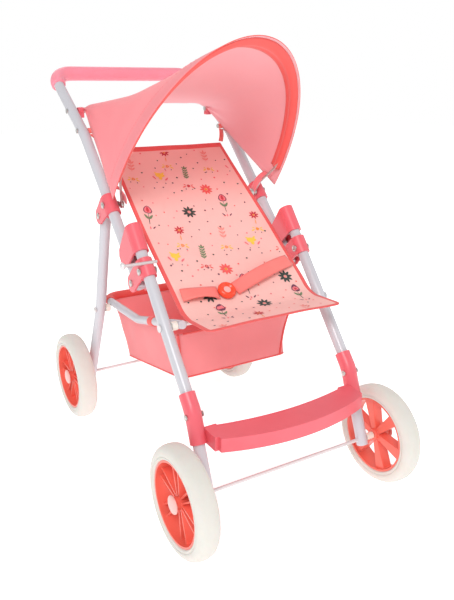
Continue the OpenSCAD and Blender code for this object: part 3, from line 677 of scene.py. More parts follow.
# ---------------------------------------------------------------------------
# Geometry Nodes: copies of one small shape on marked points
# ---------------------------------------------------------------------------
def scatter_group(label):
    """A node group: copies Piece onto every point, turned to its 'turn' attribute."""
    tree = bpy.data.node_groups.new(label, "GeometryNodeTree")
    face = tree.interface
    face.new_socket("Points", in_out="INPUT", socket_type="NodeSocketGeometry")
    face.new_socket("Piece", in_out="INPUT", socket_type="NodeSocketObject")
    face.new_socket("Size", in_out="INPUT", socket_type="NodeSocketFloat")
    face.new_socket("Finish", in_out="INPUT", socket_type="NodeSocketMaterial")
    face.new_socket("Copies", in_out="OUTPUT", socket_type="NodeSocketGeometry")
    start = tree.nodes.new("NodeGroupInput")
    end = tree.nodes.new("NodeGroupOutput")
    info = add_node(tree, "GeometryNodeObjectInfo", [("Object", start.outputs["Piece"])])
    turn = add_node(tree, "GeometryNodeInputNamedAttribute", data_type="FLOAT_VECTOR")
    turn.inputs["Name"].default_value = "turn"
    spin = add_node(tree, "FunctionNodeEulerToRotation", [(0, turn.outputs[0])])
    copies = add_node(tree, "GeometryNodeInstanceOnPoints",
                      [("Points", start.outputs["Points"]), ("Instance", info.outputs["Geometry"]),
                       ("Rotation", spin.outputs[0]), ("Scale", start.outputs["Size"])])
    real = add_node(tree, "GeometryNodeRealizeInstances", [("Geometry", copies.outputs[0])])
    finish = add_node(tree, "GeometryNodeSetMaterial",
                      [("Geometry", real.outputs[0]), ("Material", start.outputs["Finish"])])
    tree.links.new(finish.outputs[0], end.inputs["Copies"])
    return tree


def copies_of(name, piece, spots, mat, size=1.0):
    """One plain mesh with a copy of piece at each (place, Z direction, X direction)."""
    data = bpy.data.meshes.new(name + " points")
    data.from_pydata([tuple(np.array(p) / 1000) for p, _, _ in spots], [], [])
    turn = data.attributes.new("turn", "FLOAT_VECTOR", "POINT")
    angles = []
    for _, z, x in spots:
        z, x = Vector(z).normalized(), Vector(x)
        x = (x - z * x.dot(z)).normalized()
        y = z.cross(x)
        angles.append(tuple(Matrix((x, y, z)).transposed().to_euler()))
    turn.data.foreach_set("vector", np.array(angles, np.float32).ravel())
    holder = bpy.data.objects.new(name + " points", data)
    bpy.context.scene.collection.objects.link(holder)
    tree = scatter_group(name + " copies")
    mod = holder.modifiers.new("copies", "NODES")
    mod.node_group = tree
    for item in tree.interface.items_tree:
        if item.in_out == "INPUT" and item.name in ("Piece", "Size", "Finish"):
            mod[item.identifier] = {"Piece": piece, "Size": size, "Finish": mat}[item.name]
    bpy.context.view_layer.update()
    made = bpy.data.meshes.new_from_object(
        holder.evaluated_get(bpy.context.evaluated_depsgraph_get()))
    made.name = name
    if made.attributes.get("turn"):
        made.attributes.remove(made.attributes["turn"])
    bpy.data.objects.remove(holder)
    bpy.data.objects.remove(piece)
    obj = bpy.data.objects.new(name, made)
    bpy.context.scene.collection.objects.link(obj)
    obj.data.polygons.foreach_set("use_smooth", [True] * len(obj.data.polygons))
    return obj


# ---------------------------------------------------------------------------
# Settings
# ---------------------------------------------------------------------------
class StrollerSettings(bpy.types.PropertyGroup):
    """Sizes of the soft pieces that the CAD frame leaves open."""
    seat_sag: bpy.props.FloatProperty(name="Seat sag (mm)", default=6.0, min=0, max=14)
    hood_sag: bpy.props.FloatProperty(name="Hood sag (mm)", default=7.0, min=0, max=15)
    binding: bpy.props.FloatProperty(name="Binding width (mm)", default=5.0, min=4, max=12)
    print_seed: bpy.props.IntProperty(name="Print seed", default=7, min=0, max=99)
    tread_depth: bpy.props.FloatProperty(name="Tread depth (mm)", default=0.5, min=0, max=1.5)
    folds: bpy.props.FloatProperty(name="Cloth folds (mm)", default=1.6, min=0, max=4)


def settings():
    """The values set in the panel."""
    return bpy.context.scene.stroller


def ripple_at(p, size, seed=0.0):
    """Smooth noise from -1 to 1 at a point in millimetres, with features of the given size."""
    return noise.noise(Vector((p[0] / size + seed, p[1] / size, p[2] / size)))


def seg(t, a, b):
    """Smooth step from 0 at a to 1 at b."""
    t = np.clip((t - a) / (b - a), 0, 1)
    return t * t * (3 - 2 * t)


# ---------------------------------------------------------------------------
# Frame
# ---------------------------------------------------------------------------
def build_tubes():
    """White tubes: two front legs, the handle, two rear legs and the basket tube."""
    w = [MATS["white"]]
    low = math.degrees(math.atan2(LEG_FOOT_RISE, LEG_FOOT_RUN))
    rear_top = math.degrees(math.atan2(*(REAR_P - BOLT_P)[::-1]))
    rear_low = math.degrees(math.atan2(BOLT_P[1] - WHEEL_R, BOLT_P[0] - REAR_Y))
    for s, side in ((-1, "left"), (1, "right")):
        x = s * LEG_X
        path = rounded([at(x, LEG_FOOT - 9 * direction(low)), at(x, LEG_BEND),
                        at(x, LEG_TOP)], [45])
        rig.replaces(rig.ride(sweep("front_leg_tube_" + side, path, TUBE_R, w), "frame"),
                    "front_leg_" + side)
        path = rounded([at(x, REAR_P + 9 * direction(rear_top)), at(x, BOLT_P),
                        at(x, np.array([REAR_Y, WHEEL_R]) - 9 * direction(rear_low))], [200], 2)
        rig.replaces(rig.ride(sweep("rear_leg_tube_" + side, path, TUBE_R, w), "rear_legs"),
                    "rear_leg_" + side)
    low = FOLD_P - 9 * direction(HANDLE_SLOPE)
    path = rounded([at(-LEG_X, low), at(-LEG_X, HANDLE_BEND), at(-LEG_X, GRIP_P),
                    at(LEG_X, GRIP_P), at(LEG_X, HANDLE_BEND), at(LEG_X, low)],
                   [60, 30, 30, 60])
    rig.replaces(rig.ride(sweep("handle_bar", path, TUBE_R, w), "handle"), "handle_tube")
    bend, back = BASKET_BEND, BASKET_BACK
    front = BASKET_P - 6 * (bend - BASKET_P) / np.linalg.norm(bend - BASKET_P)
    half = BASKET_HALF
    path = rounded([at(-half, front), at(-half, bend), at(-half, back), at(half, back),
                    at(half, bend), at(half, front)], [40, 24, 24, 40])
    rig.replaces(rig.ride(sweep("basket_bar", path, BASKET_TUBE_R, w, sides=24),
                        "basket_frame"), "basket_tube")


def build_grip():
    """Foam grip pulled over the handle's bar and both corners."""
    side = GRIP_P - 34 * direction(GRIP_SLOPE)
    path = rounded([at(-LEG_X, side), at(-LEG_X, GRIP_P), at(LEG_X, GRIP_P), at(LEG_X, side)],
                   [30, 30], 4)
    grip = sweep("foam_grip", path, 11.25, [MATS["grip"]], sides=40, round_end=2.5)
    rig.slot(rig.padded(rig.replaces(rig.ride(grip, "handle"), "handle_grip"), fill=1.0), "foam_pink")


def build_plastics():
    """Finishes of the moulded plastic parts of the frame."""
    for node in ("lower_bracket_left", "lower_bracket_right", "connector_left",
                 "connector_right", "latch_left", "latch_right"):
        dress(node, MATS["pink"], 0.9)
    dress("footrest", MATS["pink"], 2.4)
    for node in ("hood_clip_left", "hood_clip_right"):
        dress(node, MATS["pink"], 1.0)
    for node in ("strap_boss_left", "strap_boss_right"):
        dress(node, MATS["strap"], 0.4)
    for node in ("front_spacers", "rear_spacers", "front_bushes", "rear_bushes"):
        dress(node, MATS["cream"], 0.5)
    for node in ("front_axle", "rear_axle", "seat_rod", "rear_bolts"):
        dress(node, MATS["axle"], 0.3)
    for node in ("bracket_rivets", "fold_rivets", "connector_rivets", "rear_leg_rivets",
                 "handle_screws", "footrest_screws"):
        dress(node, MATS["steel"], 0.3)


def build_rivet_domes():
    """Domed heads on rivets, bolts and screws, copied onto their ends by Geometry Nodes."""
    def dome():
        prof = [(0, 2.2)] + [(4.4 * math.sin(a), 2.2 * math.cos(a)) for a in
                             (0.35, 0.7, 1.0, 1.25, 1.45)] + [(4.5, 0), (4.5, -0.6), (0, -0.6)]
        return lathe("dome", prof, [MATS["steel"]], sides=20)
    plate = 8.3 + PLATE_T + RIVET_OUT
    sets = {
        "frame": [(LEG_BEND + FOLD_ALONG * direction(LEG_SLOPE), plate), (FOLD_P, plate),
                  (LEG_BEND + [-3, -4], TUBE_R + PLATE_T + RIVET_OUT)],
        "handle": [(FOLD_P + 129 * direction(HANDLE_SLOPE), plate), (REAR_P, plate)],
        "rear_legs": [(BOLT_P, TUBE_R + RIVET_OUT)],
    }
    for body, rivets in sets.items():
        spots = []
        for p, out in rivets:
            for s in (-1, 1):
                spots.append((at(s * (LEG_X + out - 0.8), p), (s, 0, 0), (0, 1, 0)))
                if body != "rear_legs":
                    spots.append((at(s * (LEG_X - out + 0.8), p), (-s, 0, 0), (0, 1, 0)))
        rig.slot(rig.ride(copies_of("rivet_domes_" + body, dome(), spots, MATS["steel"], 0.8),
                        body), "steel")


def build_lock_pin():
    """Side pin: a rod with a round cap and a thin neck, across the left front leg."""
    p = LEG_BEND + 201 * direction(LEG_SLOPE) - (8 + 2.25) * below(LEG_SLOPE)
    x0 = -LEG_X - 39
    prof = [(0, 0), (2.5, 0.3), (4.2, 1.4), (5.0, 3.2), (4.6, 5.0), (3.0, 6.2), (2.2, 7.0),
            (2.2, 51.6), (1.6, 52), (0, 52)]
    pin = lathe("side_pin", prof, [MATS["axle"]], sides=32)
    turn = Matrix.Rotation(math.pi / 2, 4, "Y")
    place(pin, Matrix.Translation(Vector(at(x0, p)) / 1000) @ turn)
    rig.slot(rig.replaces(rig.ride(pin, "frame"), "lock_pin"), "steel")


# ---------------------------------------------------------------------------
# Wheels
# ---------------------------------------------------------------------------
def build_wheels():
    """Foam tyres with a shallow tread, coral rims and domed hub caps."""
    depth = settings().tread_depth
    h, c = TYRE_W / 2, TYRE_W * 0.42
    crown = []
    around = 22
    for i in range(around + 1):
        a = -math.pi / 2 + math.pi * i / around
        r = WHEEL_R - c + c * abs(math.cos(a)) ** 0.8
        z = h * math.copysign(abs(math.sin(a)) ** 0.8, math.sin(a))
        crown.append((r, z))
    profile = [(RIM_R + 0.1, -h + 2.2), (RIM_R + 1.6, -h + 0.6), (RIM_R + 3.6, -h + 0.2),
               (RIM_R + 4.0, -h + 0.9), (RIM_R + 4.6, -h + 0.9), (RIM_R + 5.0, -h)]
    profile += crown[1:-1] + [(r, -z) for r, z in profile[::-1]]
    blocks = 54

    def tread(k, a):
        r, z = profile[k]
        if r < WHEEL_R - 6.5:
            return 0.0
        row = z / 4.6
        cell = a / (2 * math.pi) * blocks + 0.5 * (round(row) % 2)
        block = abs(math.cos(math.pi * cell)) ** 0.35 * abs(math.cos(math.pi * row)) ** 0.35
        return -depth * (1 - block) - 0.02

    for name, x, y in (("front_left", -160, FRONT_Y), ("front_right", 160, FRONT_Y),
                       ("rear_left", -155, REAR_Y), ("rear_right", 155, REAR_Y)):
        body = name + "_wheel"
        s = 1 if x > 0 else -1
        seat = (Matrix.Translation(Vector((x, y, WHEEL_R)) / 1000)
                @ Matrix.Rotation(s * math.pi / 2, 4, "Y"))
        tyre = lathe(name + "_foam_tyre", profile, [MATS["tyre"]], sides=4 * blocks,
                     ripple=tread)
        place(tyre, seat)
        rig.slot(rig.padded(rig.replaces(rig.ride(tyre, body), name + "_tyre"), fill=1.0),
                "cream_foam")
        dress(name + "_rim", MATS["coral"], 0.7)
        prof = [(0, 17.2), (5, 17.1), (9, 16.6), (11.2, 15.6), (12, 14.4), (12, 13.55), (0, 13.55)]
        cap = place(lathe(name + "_hub_cap", prof, [MATS["cap"]], sides=40), seat)
        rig.slot(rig.replaces(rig.ride(cap, body), name + "_cap"), "cap_pink")


# ---------------------------------------------------------------------------
# Seat
# ---------------------------------------------------------------------------
def seat_half(s):
    """Half width of the seat at s, which narrows a little towards its top."""
    return 105.0 - 5.0 * seg(s, 120, BACK)


def seat_point(x, s):
    """Point of the seat's cloth: x across, s along from the crease (back up, pan negative)."""
    half = seat_half(s)
    u = x / half
    r = 14.0
    if s > r:
        p = CREASE + s * direction(SEAT_SLOPE)
        n = -below(SEAT_SLOPE)
    elif s < -r:
        p = CREASE + [s, -0.05 * (s + r)]
        n = np.array([0.0, 1.0])
    else:
        t = (s + r) / (2 * r)
        a, b, c = CREASE + [-r, 0], CREASE + [0, 1.5], CREASE + r * direction(SEAT_SLOPE)
        p = (1 - t) ** 2 * a + 2 * t * (1 - t) * b + t * t * c
        ang = math.radians(SEAT_SLOPE * t)
        n = np.array([-math.sin(ang), math.cos(ang)])
    sag = settings().seat_sag * (1 - min(1, abs(u)) ** 2.2)
    if s > 0:
        sag *= seg(s, 5, 120) * (1 - 0.85 * seg(s, 200, BACK))
    else:
        sag *= -0.25 * seg(-s, 10, PAN)
    k = settings().folds
    q = (x, s, 0)
    folds = k * 0.7 * ripple_at(q, 60, 3.1) * (1 - min(1, abs(u)) ** 6)
    # drag lines from the crease's corners
    drag = math.exp(-((s - 16) / 26) ** 2) * k * math.sin(abs(x) / 9 + 0.05 * s) * abs(u) ** 2
    p = p + n * (folds * seg(abs(s), 0, 26) + drag * 0.6 - sag)
    return np.array([x, p[0], p[1]]), n


def seat_edge(s):
    """Half width of the seat at s, with round front corners."""
    half = seat_half(s)
    r = 10.0
    d = s + PAN
    if d < r:
        half -= r - math.sqrt(max(0.0, r * r - (r - d) ** 2))
    return half


def print_shapes():
    """The print's motifs: lists of (ink, outline) about their middle, in millimetres."""
    def petal(cx, cy, length, width, angle, n=10):
        out = []
        for k in range(n):
            a = 2 * math.pi * k / n
            x, y = length / 2 * math.cos(a), width / 2 * math.sin(a) * (1 - 0.35 * math.cos(a))
            c, s = math.cos(angle), math.sin(angle)
            out.append((cx + x * c - y * s, cy + x * s + y * c))
        return out

    def daisy(n, r, ink, heart, cx=0.0, cy=0.0):
        out = [(ink, petal(cx + 0.6 * r * math.cos(a), cy + 0.6 * r * math.sin(a), 0.78 * r,
                           0.36 * r, a)) for a in (2 * math.pi * k / n + 0.2 for k in range(n))]
        return out + [(heart, petal(cx, cy, 0.42 * r, 0.42 * r, 0))]

    def leafy(ink, y0, y1, steps, size):
        out = [(ink, petal(0, (y0 + y1) / 2, y1 - y0, 0.9, math.pi / 2))]
        for k in range(steps):
            y = y0 + (y1 - y0) * (k + 0.7) / steps
            for s in (-1, 1):
                out.append((ink, petal(s * size * 0.42, y + 1.2, size, size * 0.4,
                                       math.pi / 2 - s * 0.75)))
        return out + [(ink, petal(0, y1 + size * 0.3, size, size * 0.42, math.pi / 2))]

    def base(ink, heart, y):
        out = [(heart, petal(0, y, 4.4, 4.4, 0))]
        out += [("ink_pink", petal(0, y, 2.0, 2.0, 0))]
        for s in (-1, 1):
            out.append((ink, petal(s * 5.4, y - 1.6, 5.0, 1.8, -s * 0.5)))
            out.append((ink, petal(s * 4.6, y + 1.8, 3.6, 1.3, s * 0.5)))
        return out + [("ink_plum", petal(s * 4.0, y - 5.2, 1.5, 1.5, 0)) for s in (-1, 1)]

    tulip = [("ink_plum", petal(0, 15.5, 12.4, 10.4, math.pi / 2)),
             ("ink_rose", petal(0, 15.5, 10.4, 8.2, math.pi / 2)),
             ("ink_red", petal(0, 15.8, 8.4, 3.4, math.pi / 2)),
             ("ink_dark", petal(0, 1.0, 18, 0.8, math.pi / 2))]
    for s in (-1, 1):
        tulip.append(("ink_green", petal(s * 2.8, 4.5, 8.0, 2.9, math.pi / 2 - s * 0.6)))
        tulip.append(("ink_plum", petal(s * 4.6, -11.5, 5.0, 1.6, math.pi / 2 - s * 0.7)))
    tulip.append(("ink_rose", petal(0, -12.5, 4.5, 1.6, math.pi / 2)))
    bird = [("ink_yellow", petal(0, 4.0, 12.0, 7.0, 0.0)), ("ink_yellow", petal(0, 0, 7, 4, 1.57)),
            ("ink_yellow", petal(3.4, 7.0, 6.4, 2.6, 0.9)),
            ("ink_yellow", petal(-4.4, 6.4, 6.4, 2.6, 2.4))]
    for s in (-1, 1):
        bird.append(("ink_rose", petal(s * 7.6, -1.0, 6.6, 2.2, s * 0.9)))
        bird.append(("ink_plum", petal(s * 5.4, -8.2, 1.5, 1.5, 0)))
    return {
        "tulip": tulip,
        "dark": daisy(9, 9.0, "ink_dark", "ink_pink"),
        "bird": bird,
        "fern": leafy("ink_green", -2, 16, 5, 4.6) + base("ink_coral", "ink_red", -13),
        "coral": daisy(10, 8.4, "ink_coral", "ink_orange"),
        "twig": leafy("ink_pink", -1, 15, 3, 5.6) + base("ink_yellow", "ink_orange", -13),
        "red": daisy(8, 6.4, "ink_red", "ink_orange", 0, 12)
        + [("ink_orange", petal(0, 1.5, 8, 1.0, math.pi / 2))]
        + base("ink_yellow", "ink_orange", -10),
    }


def build_print():
    """Flower print of the seat: thin ink shapes laid on the cloth in a slanted repeat."""
    rng = random.Random(settings().print_seed)
    shapes = print_shapes()
    tile = [("tulip", 46, 180), ("dark", -16, 179), ("coral", 31, 220), ("red", -50, 131),
            ("bird", -35, 250), ("fern", 8, 246), ("twig", 55, 276)]
    across_step, along_step, motif_scale = (131, 10), (38, 154), 1.28
    inks = sorted({ink for parts in shapes.values() for ink, _ in parts})
    spots, outlines = [], []
    for panel, dx, dy in ((1, 0, 0), (-1, 70, -34)):
        for i in range(-3, 4):
            for j in range(-4, 4):
                for kind, x, y in tile:
                    cx = x + dx + across_step[0] * i + along_step[0] * j
                    cy = y + dy + across_step[1] * i + along_step[1] * j
                    if cy * panel < (12 if panel > 0 else 5):
                        continue
                    spots.append((cx, cy))
                    tilt = -0.2 + rng.uniform(-0.05, 0.05)
                    c, s = motif_scale * math.cos(tilt), motif_scale * math.sin(tilt)
                    for ink, line in shapes[kind]:
                        outlines.append((ink, [(cx + a * c - b * s, cy + a * s + b * c)
                                               for a, b in line]))
    for _ in range(2600):
        x, y = rng.uniform(-104, 104), rng.uniform(-PAN, BACK)
        if all(math.hypot(x - a, (y - b) * 0.75) > 13.5 for a, b in spots):
            r = rng.uniform(1.1, 1.6)
            ink = rng.choice(("ink_plum", "ink_plum", "ink_dark", "ink_coral", "ink_rose"))
            outlines.append((ink, [(x + r * math.cos(a), y + r * math.sin(a)) for a in
                                   (0, 0.79, 1.57, 2.36, 3.14, 3.93, 4.71, 5.5)]))
            spots.append((x, y))
    points, faces, slots = [], [], []
    for layer, (ink, line) in enumerate(outlines):
        if any(abs(x) > seat_edge(s) - 9 or s < -PAN + 5 or s > BACK - 11 for x, s in line):
            continue
        start = len(points)
        cx = sum(x for x, _ in line) / len(line)
        cs = sum(s for _, s in line) / len(line)
        lift = 0.85 + 0.03 * (layer % 9)
        for x, s in line + [(cx, cs)]:
            p, n = seat_point(x, s)
            points.append(p + np.array([0, n[0], n[1]]) * lift)
        n = len(line)
        for k in range(n):
            faces.append((start + n, start + k, start + (k + 1) % n))
            slots.append(inks.index(ink))
    return mesh_object("seat_print", points, faces, [MATS[i] for i in inks], slots)


def build_seat():
    """Seat sling: one bound cloth from the top ribbons over the crease to the front flap."""
    rows, cols = 150, 72
    g = np.zeros((rows, cols, 3))
    for j in range(rows):
        s = BACK - (BACK + PAN) * j / (rows - 1)
        for i in range(cols):
            x = seat_edge(max(s, -PAN + 0.3)) * (2 * i / (cols - 1) - 1)
            g[j, i] = seat_point(x, s)[0]
    width = settings().binding

    def slot_of(u, v, side):
        s = BACK - (BACK + PAN) * v
        x = seat_edge(max(s, -PAN + 0.3)) * (2 * u - 1)
        edge = seat_edge(max(s, -PAN + 0.3)) - abs(x)
        if side == 2 or edge < (width if s > 0 else 4.5) or s > BACK - 10 or s < -PAN + 4:
            return 1
        return 0

    cloth_obj = shell("seat_sling", g, 1.2, [MATS["seat"], MATS["binding"]], slot_of)
    printed = build_print()
    split = (FOLD_P - CREASE) @ direction(SEAT_SLOPE)
    a = tuple(at(0, CREASE + (split - 30) * direction(SEAT_SLOPE)) / 1000)
    b = tuple(at(0, CREASE + (split + 30) * direction(SEAT_SLOPE)) / 1000)
    for obj in (cloth_obj, printed):
        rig.blend(obj, "frame", "handle", start=a, end=b)
    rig.slot(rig.replaces(cloth_obj, "seat_base", "seat_back"), "seat_cloth")
    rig.slot(printed, "seat_cloth")
    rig.sheet(cloth_obj, flat=(0.21, 0.382), held="stretched",
             rests_on=["seat_rod", "seat_ribbon_left", "seat_ribbon_right"],
             area=min(grid_area(g), 0.0801), with_pieces=[printed])


def strap_shell(name, line, across, width, thick, mat):
    """Flat strap along a line; across gives its width direction at each point."""
    g = []
    for p, w in zip(line, across):
        w = np.array(w, float) / np.linalg.norm(w)
        g.append([np.array(p) + w * width * k for k in (-0.5, -0.3, -0.1, 0.1, 0.3, 0.5)])
    return shell(name, np.array(g), thick, [mat], lambda u, v, side: 0)


def build_belt():
    """Lap belt: a strap from each side of the seat to a round buckle."""
    up = np.array([0, *direction(SEAT_SLOPE)])
    n = np.array([0, *(-below(SEAT_SLOPE))])
    base = at(0, CREASE)

    def spot(x, s, lift):
        return base + np.array([x, 0, 0]) + up * s + n * lift

    def strap(name, x0, s0, x1, s1, lift, twist):
        line, across = [], []
        d = np.array([x1 - x0, s1 - s0]) / math.hypot(x1 - x0, s1 - s0)
        for k in range(25):
            t = k / 24
            hump = lift * math.sin(math.pi * t) ** 0.8
            line.append(spot(x0 + (x1 - x0) * t, s0 + (s1 - s0) * t, 3.2 + hump))
            tip = twist * math.sin(math.pi * t)
            across.append((np.array([-d[1], 0, 0]) + up * d[0]) * math.cos(tip)
                          + n * math.sin(tip))
        obj = strap_shell(name, line, across, 20, 1.3, MATS["strap"])
        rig.slot(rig.replaces(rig.ride(obj, "frame"), "belt_" + name), "coral_cloth")

    strap("strap_right", -14, 27, 96, 60, 7, 0.25)
    strap("strap_left", -94, 32, -41, 26, 5, -0.3)
    prof = [(0, 4.4), (5.0, 4.6), (6.6, 5.2), (7.6, 6.6), (9.0, 7.3), (10.6, 6.9), (12.2, 5.0),
            (13, 2.6), (12.8, 0.8), (12.2, 0.2), (0, 0.2)]
    # the dished centre disc (first profile step) takes the pale pink plastic as a painted highlight; the rest of the
    # button is orange
    buckle = lathe("belt_button", prof, [MATS["buckle"], MATS["cap"]],
                   lambda k: 1 if k == 0 else 0, sides=64)
    turn = Matrix.Rotation(math.radians(SEAT_SLOPE), 4, "X")
    place(buckle, Matrix.Translation(Vector(spot(-28, 26, 3.0)) / 1000) @ turn)
    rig.slot(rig.replaces(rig.ride(buckle, "frame"), "belt_buckle"), "buckle_plastic")


def build_ribbons():
    """Ribbons from the seat's top corners to the bosses, and the hood's lower tabs."""
    for s, side in ((-1, "left"), (1, "right")):
        top = at(s * 114.5, BOSS_P + [-3, -5])
        low = at(s * 98.0, SEAT_TOP + [-5, 3])
        line = [low + (top - low) * k / 8 + np.array([0, -2.0 * math.sin(math.pi * k / 8), 0])
                for k in range(9)]
        obj = strap_shell("seat_ribbon_band_" + side, line, [(0.92, 0.2 * s, -0.2)] * 9, 9, 1.2,
                          MATS["strap"])
        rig.slot(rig.replaces(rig.ride(obj, "handle"), "seat_ribbon_" + side), "coral_cloth")
        # tab: a strip sewn inside the hood's tip that goes down beside the bow's foot
        edge = (hood_back(0) * 0.09 + hood_front(0) * 0.91) * np.array([-s, 1, 1])
        low = at(s * 109.6, HOOD_PIVOT + [-2, 4])
        knee = low + np.array([s * 1.5, -9, 18])
        line = []
        for k in range(15):
            t = k / 14
            q = low * (1 - t) ** 2 + knee * 2 * t * (1 - t) + edge * t * t
            line.append(q + np.array([-s * 1.6 * t, 0, 7.0 * t]))
        tab = strap_shell("tab_strip_" + side, line, [(0.1 * s, 1, 0.5)] * 15, 13, 1.0,
                          MATS["hood"])
        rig.blend(tab, "handle", "bow", start=tuple(line[1] / 1000), end=tuple(line[-2] / 1000))
        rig.slot(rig.replaces(tab, "hood_tab_" + side), "hood_cloth")


# ---------------------------------------------------------------------------
# Hood
# ---------------------------------------------------------------------------
def hood_front(u):
    """Point of the hood's front edge, from its left tip at 0 to its right tip at 1."""
    a = math.pi * u
    return np.array([-HOOD_HALF * math.cos(a),
                     HOOD_TIP[0] - HOOD_LEAN * HOOD_RISE * math.sin(a),
                     HOOD_TIP[1] + HOOD_RISE * math.sin(a)])


def hood_back(u):
    """Point of the hood's back hem, from the left clip at 0 to the right clip at 1."""
    t = min(1.0, max(0.0, (u - 0.22) / 0.56))
    s = 1 - 2 * t * t * (3 - 2 * t)
    w = min(1.0, (1 - abs(s)) * 4)
    e = 1 - min(1.0, min(u, 1 - u) * 4.5)
    return np.array([-107.7 * s, HOOD_REAR[0] + 3 * w - 9 * e, HOOD_REAR[1] + 5 * w - 5 * e])


def build_hood():
    """Hood: one cloth from the hem between the clips to its bound front edge on the bow."""
    rows, cols = 60, 140
    g = np.zeros((rows, cols, 3))
    k = settings().folds
    for i in range(cols):
        u = i / (cols - 1)
        a, b = hood_back(u), hood_front(u)
        for j in range(rows):
            v = j / (rows - 1)
            g[j, i] = a * (1 - v) + b * v
    n = grid_normals(g)
    middle = at(0, HOOD_PIVOT + [0, 54])
    for i in range(cols):
        u = i / (cols - 1)
        for j in range(rows):
            v = j / (rows - 1)
            d = n[j, i]
            if d @ (g[j, i] - middle) < 0:
                d = -d
            sag = settings().hood_sag * math.sin(math.pi * min(1, v / 0.9)) ** 1.2
            sag *= seg(min(u, 1 - u), 0.02, 0.2)
            drag = k * 0.9 * math.sin(46 * min(u, 1 - u) + 1.5 * v) * (1 - v) ** 1.5
            drag *= seg(min(u, 1 - u), 0.0, 0.08) * (1 - seg(min(u, 1 - u), 0.3, 0.42))
            folds = k * 0.9 * ripple_at(g[j, i], 70, 9.0) * math.sin(math.pi * v)
            seam = -0.8 * math.exp(-((v - 0.885) / 0.008) ** 2)
            g[j, i] = g[j, i] + d * (-sag + drag + folds + seam)

    def slot_of(u, v, side):
        if side == 2 or v > 0.993:
            return 2
        return 1 if side == inside else 0

    side = grid_normals(g)[rows // 2, cols // 2] @ (g[rows // 2, cols // 2] - middle)
    inside = 1 if side > 0 else 0
    obj = shell("hood_cloth", g, 1.1, [MATS["hood"], MATS["hood_in"], MATS["band"]], slot_of)
    back, tip = hood_back(0.5) / 1000, hood_front(0.5) / 1000
    start, end = tuple(back + 0.15 * (tip - back)), tuple(back + 0.82 * (tip - back))
    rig.blend(obj, "handle", "bow", start=start, end=end)
    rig.slot(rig.replaces(obj, "hood"), "hood_cloth")
    # stitches beside the front seam, copied along it by Geometry Nodes
    j = int(0.87 * (rows - 1))
    line = g[j]
    nn = grid_normals(g)[j]
    spots = []
    run = 0.0
    for i in range(2, cols - 2):
        run += float(np.linalg.norm(line[i] - line[i - 1]))
        if run >= 4.0:
            run = 0.0
            d = nn[i] if nn[i] @ (line[i] - middle) > 0 else -nn[i]
            spots.append((line[i] + d * 0.6, tuple(d), tuple(line[i + 1] - line[i])))
    prof = [(0, 0.26), (0.26, 0.2), (0.36, 0), (0, -0.1)]
    stitch = lathe("stitch", prof, [MATS["thread"]], sides=6)
    stitch.data.transform(Matrix.Diagonal((3.6, 1, 1, 1)))
    made = copies_of("hood_stitches", stitch, spots, MATS["thread"])
    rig.slot(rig.blend(made, "handle", "bow", start=start, end=end), "hood_cloth")

    # facing: a coral strip inside the front edge, which holds the bow as in a sleeve
    across = [0, 0.12, 0.3, 0.45, 0.55, 0.65, 0.75, 0.85, 0.93, 1.0]
    depth = [0.2, 0.3, 1.2, 3.4, 4.9, 5.3, 4.9, 3.2, 1.2, 0.2]
    f = []
    for w, inward in zip(across, depth):
        v = 0.885 + 0.1 * w
        t = v * (rows - 1)
        j0 = min(int(t), rows - 2)
        ring = g[j0] * (1 - t + j0) + g[j0 + 1] * (t - j0)
        out = grid_normals(g)[j0]
        sign = np.where(np.einsum("ij,ij->i", out, ring - middle) > 0, 1.0, -1.0)[:, None]
        f.append((ring - out * sign * (0.75 + inward))[5:-5])
    strip = shell("hood_facing", np.array(f), 0.8, [MATS["band"]], lambda u, v, side: 0)
    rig.slot(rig.blend(strip, "handle", "bow", start=start, end=end), "coral_cloth")

    length = float(steps(g[:, cols // 2]).sum()) / 1000
    width = float(steps(g[-1]).sum()) / 1000
    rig.sheet(obj, flat=(width, length), held="stretched", area=grid_area(g),
             rests_on=["hood_clip_left", "hood_clip_right"], with_pieces=[made, strip])

    # bow: smooth wire inside the facing, down to the pivots on the connectors
    wire = []
    for i in range(61):
        u = 0.045 + 0.91 * i / 60
        e = 0.01
        p = hood_back(u) * 0.04 + hood_front(u) * 0.96
        du = hood_front(u + e) - hood_front(u - e)
        n = np.cross(du, hood_front(u) - hood_back(u))
        n /= np.linalg.norm(n)
        n = n if n @ (middle - p) > 0 else -n
        wire.append(p + n * 3.6)
    foot_x = LEG_X - 11.1 - 0.3 - 1.8
    feet = [at(s * foot_x, HOOD_PIVOT) for s in (-1, 1)]
    knees = [feet[0] + np.array([-4, -8, 16]), feet[1] + np.array([4, -8, 16])]
    line = rounded([feet[0], knees[0]] + wire + [knees[1], feet[1]], [14] + [60] * 61 + [14], 12)
    bow = sweep("bow_wire", line, 1.8, [MATS["steel"]], sides=14, round_end=0.4)
    eyes = []
    for k, foot in enumerate(feet):
        eye = lathe("eye_%d" % k, [(0, -1.8), (5, -1.8), (5, 1.8), (0, 1.8)], [MATS["steel"]],
                    sides=28)
        turn = Matrix.Rotation(math.pi / 2, 4, "Y")
        eyes.append(place(eye, Matrix.Translation(Vector(foot) / 1000) @ turn))
    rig.slot(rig.replaces(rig.ride(joined("bow_and_eyes", [bow] + eyes), "bow"), "hood_bow"),
            "steel")


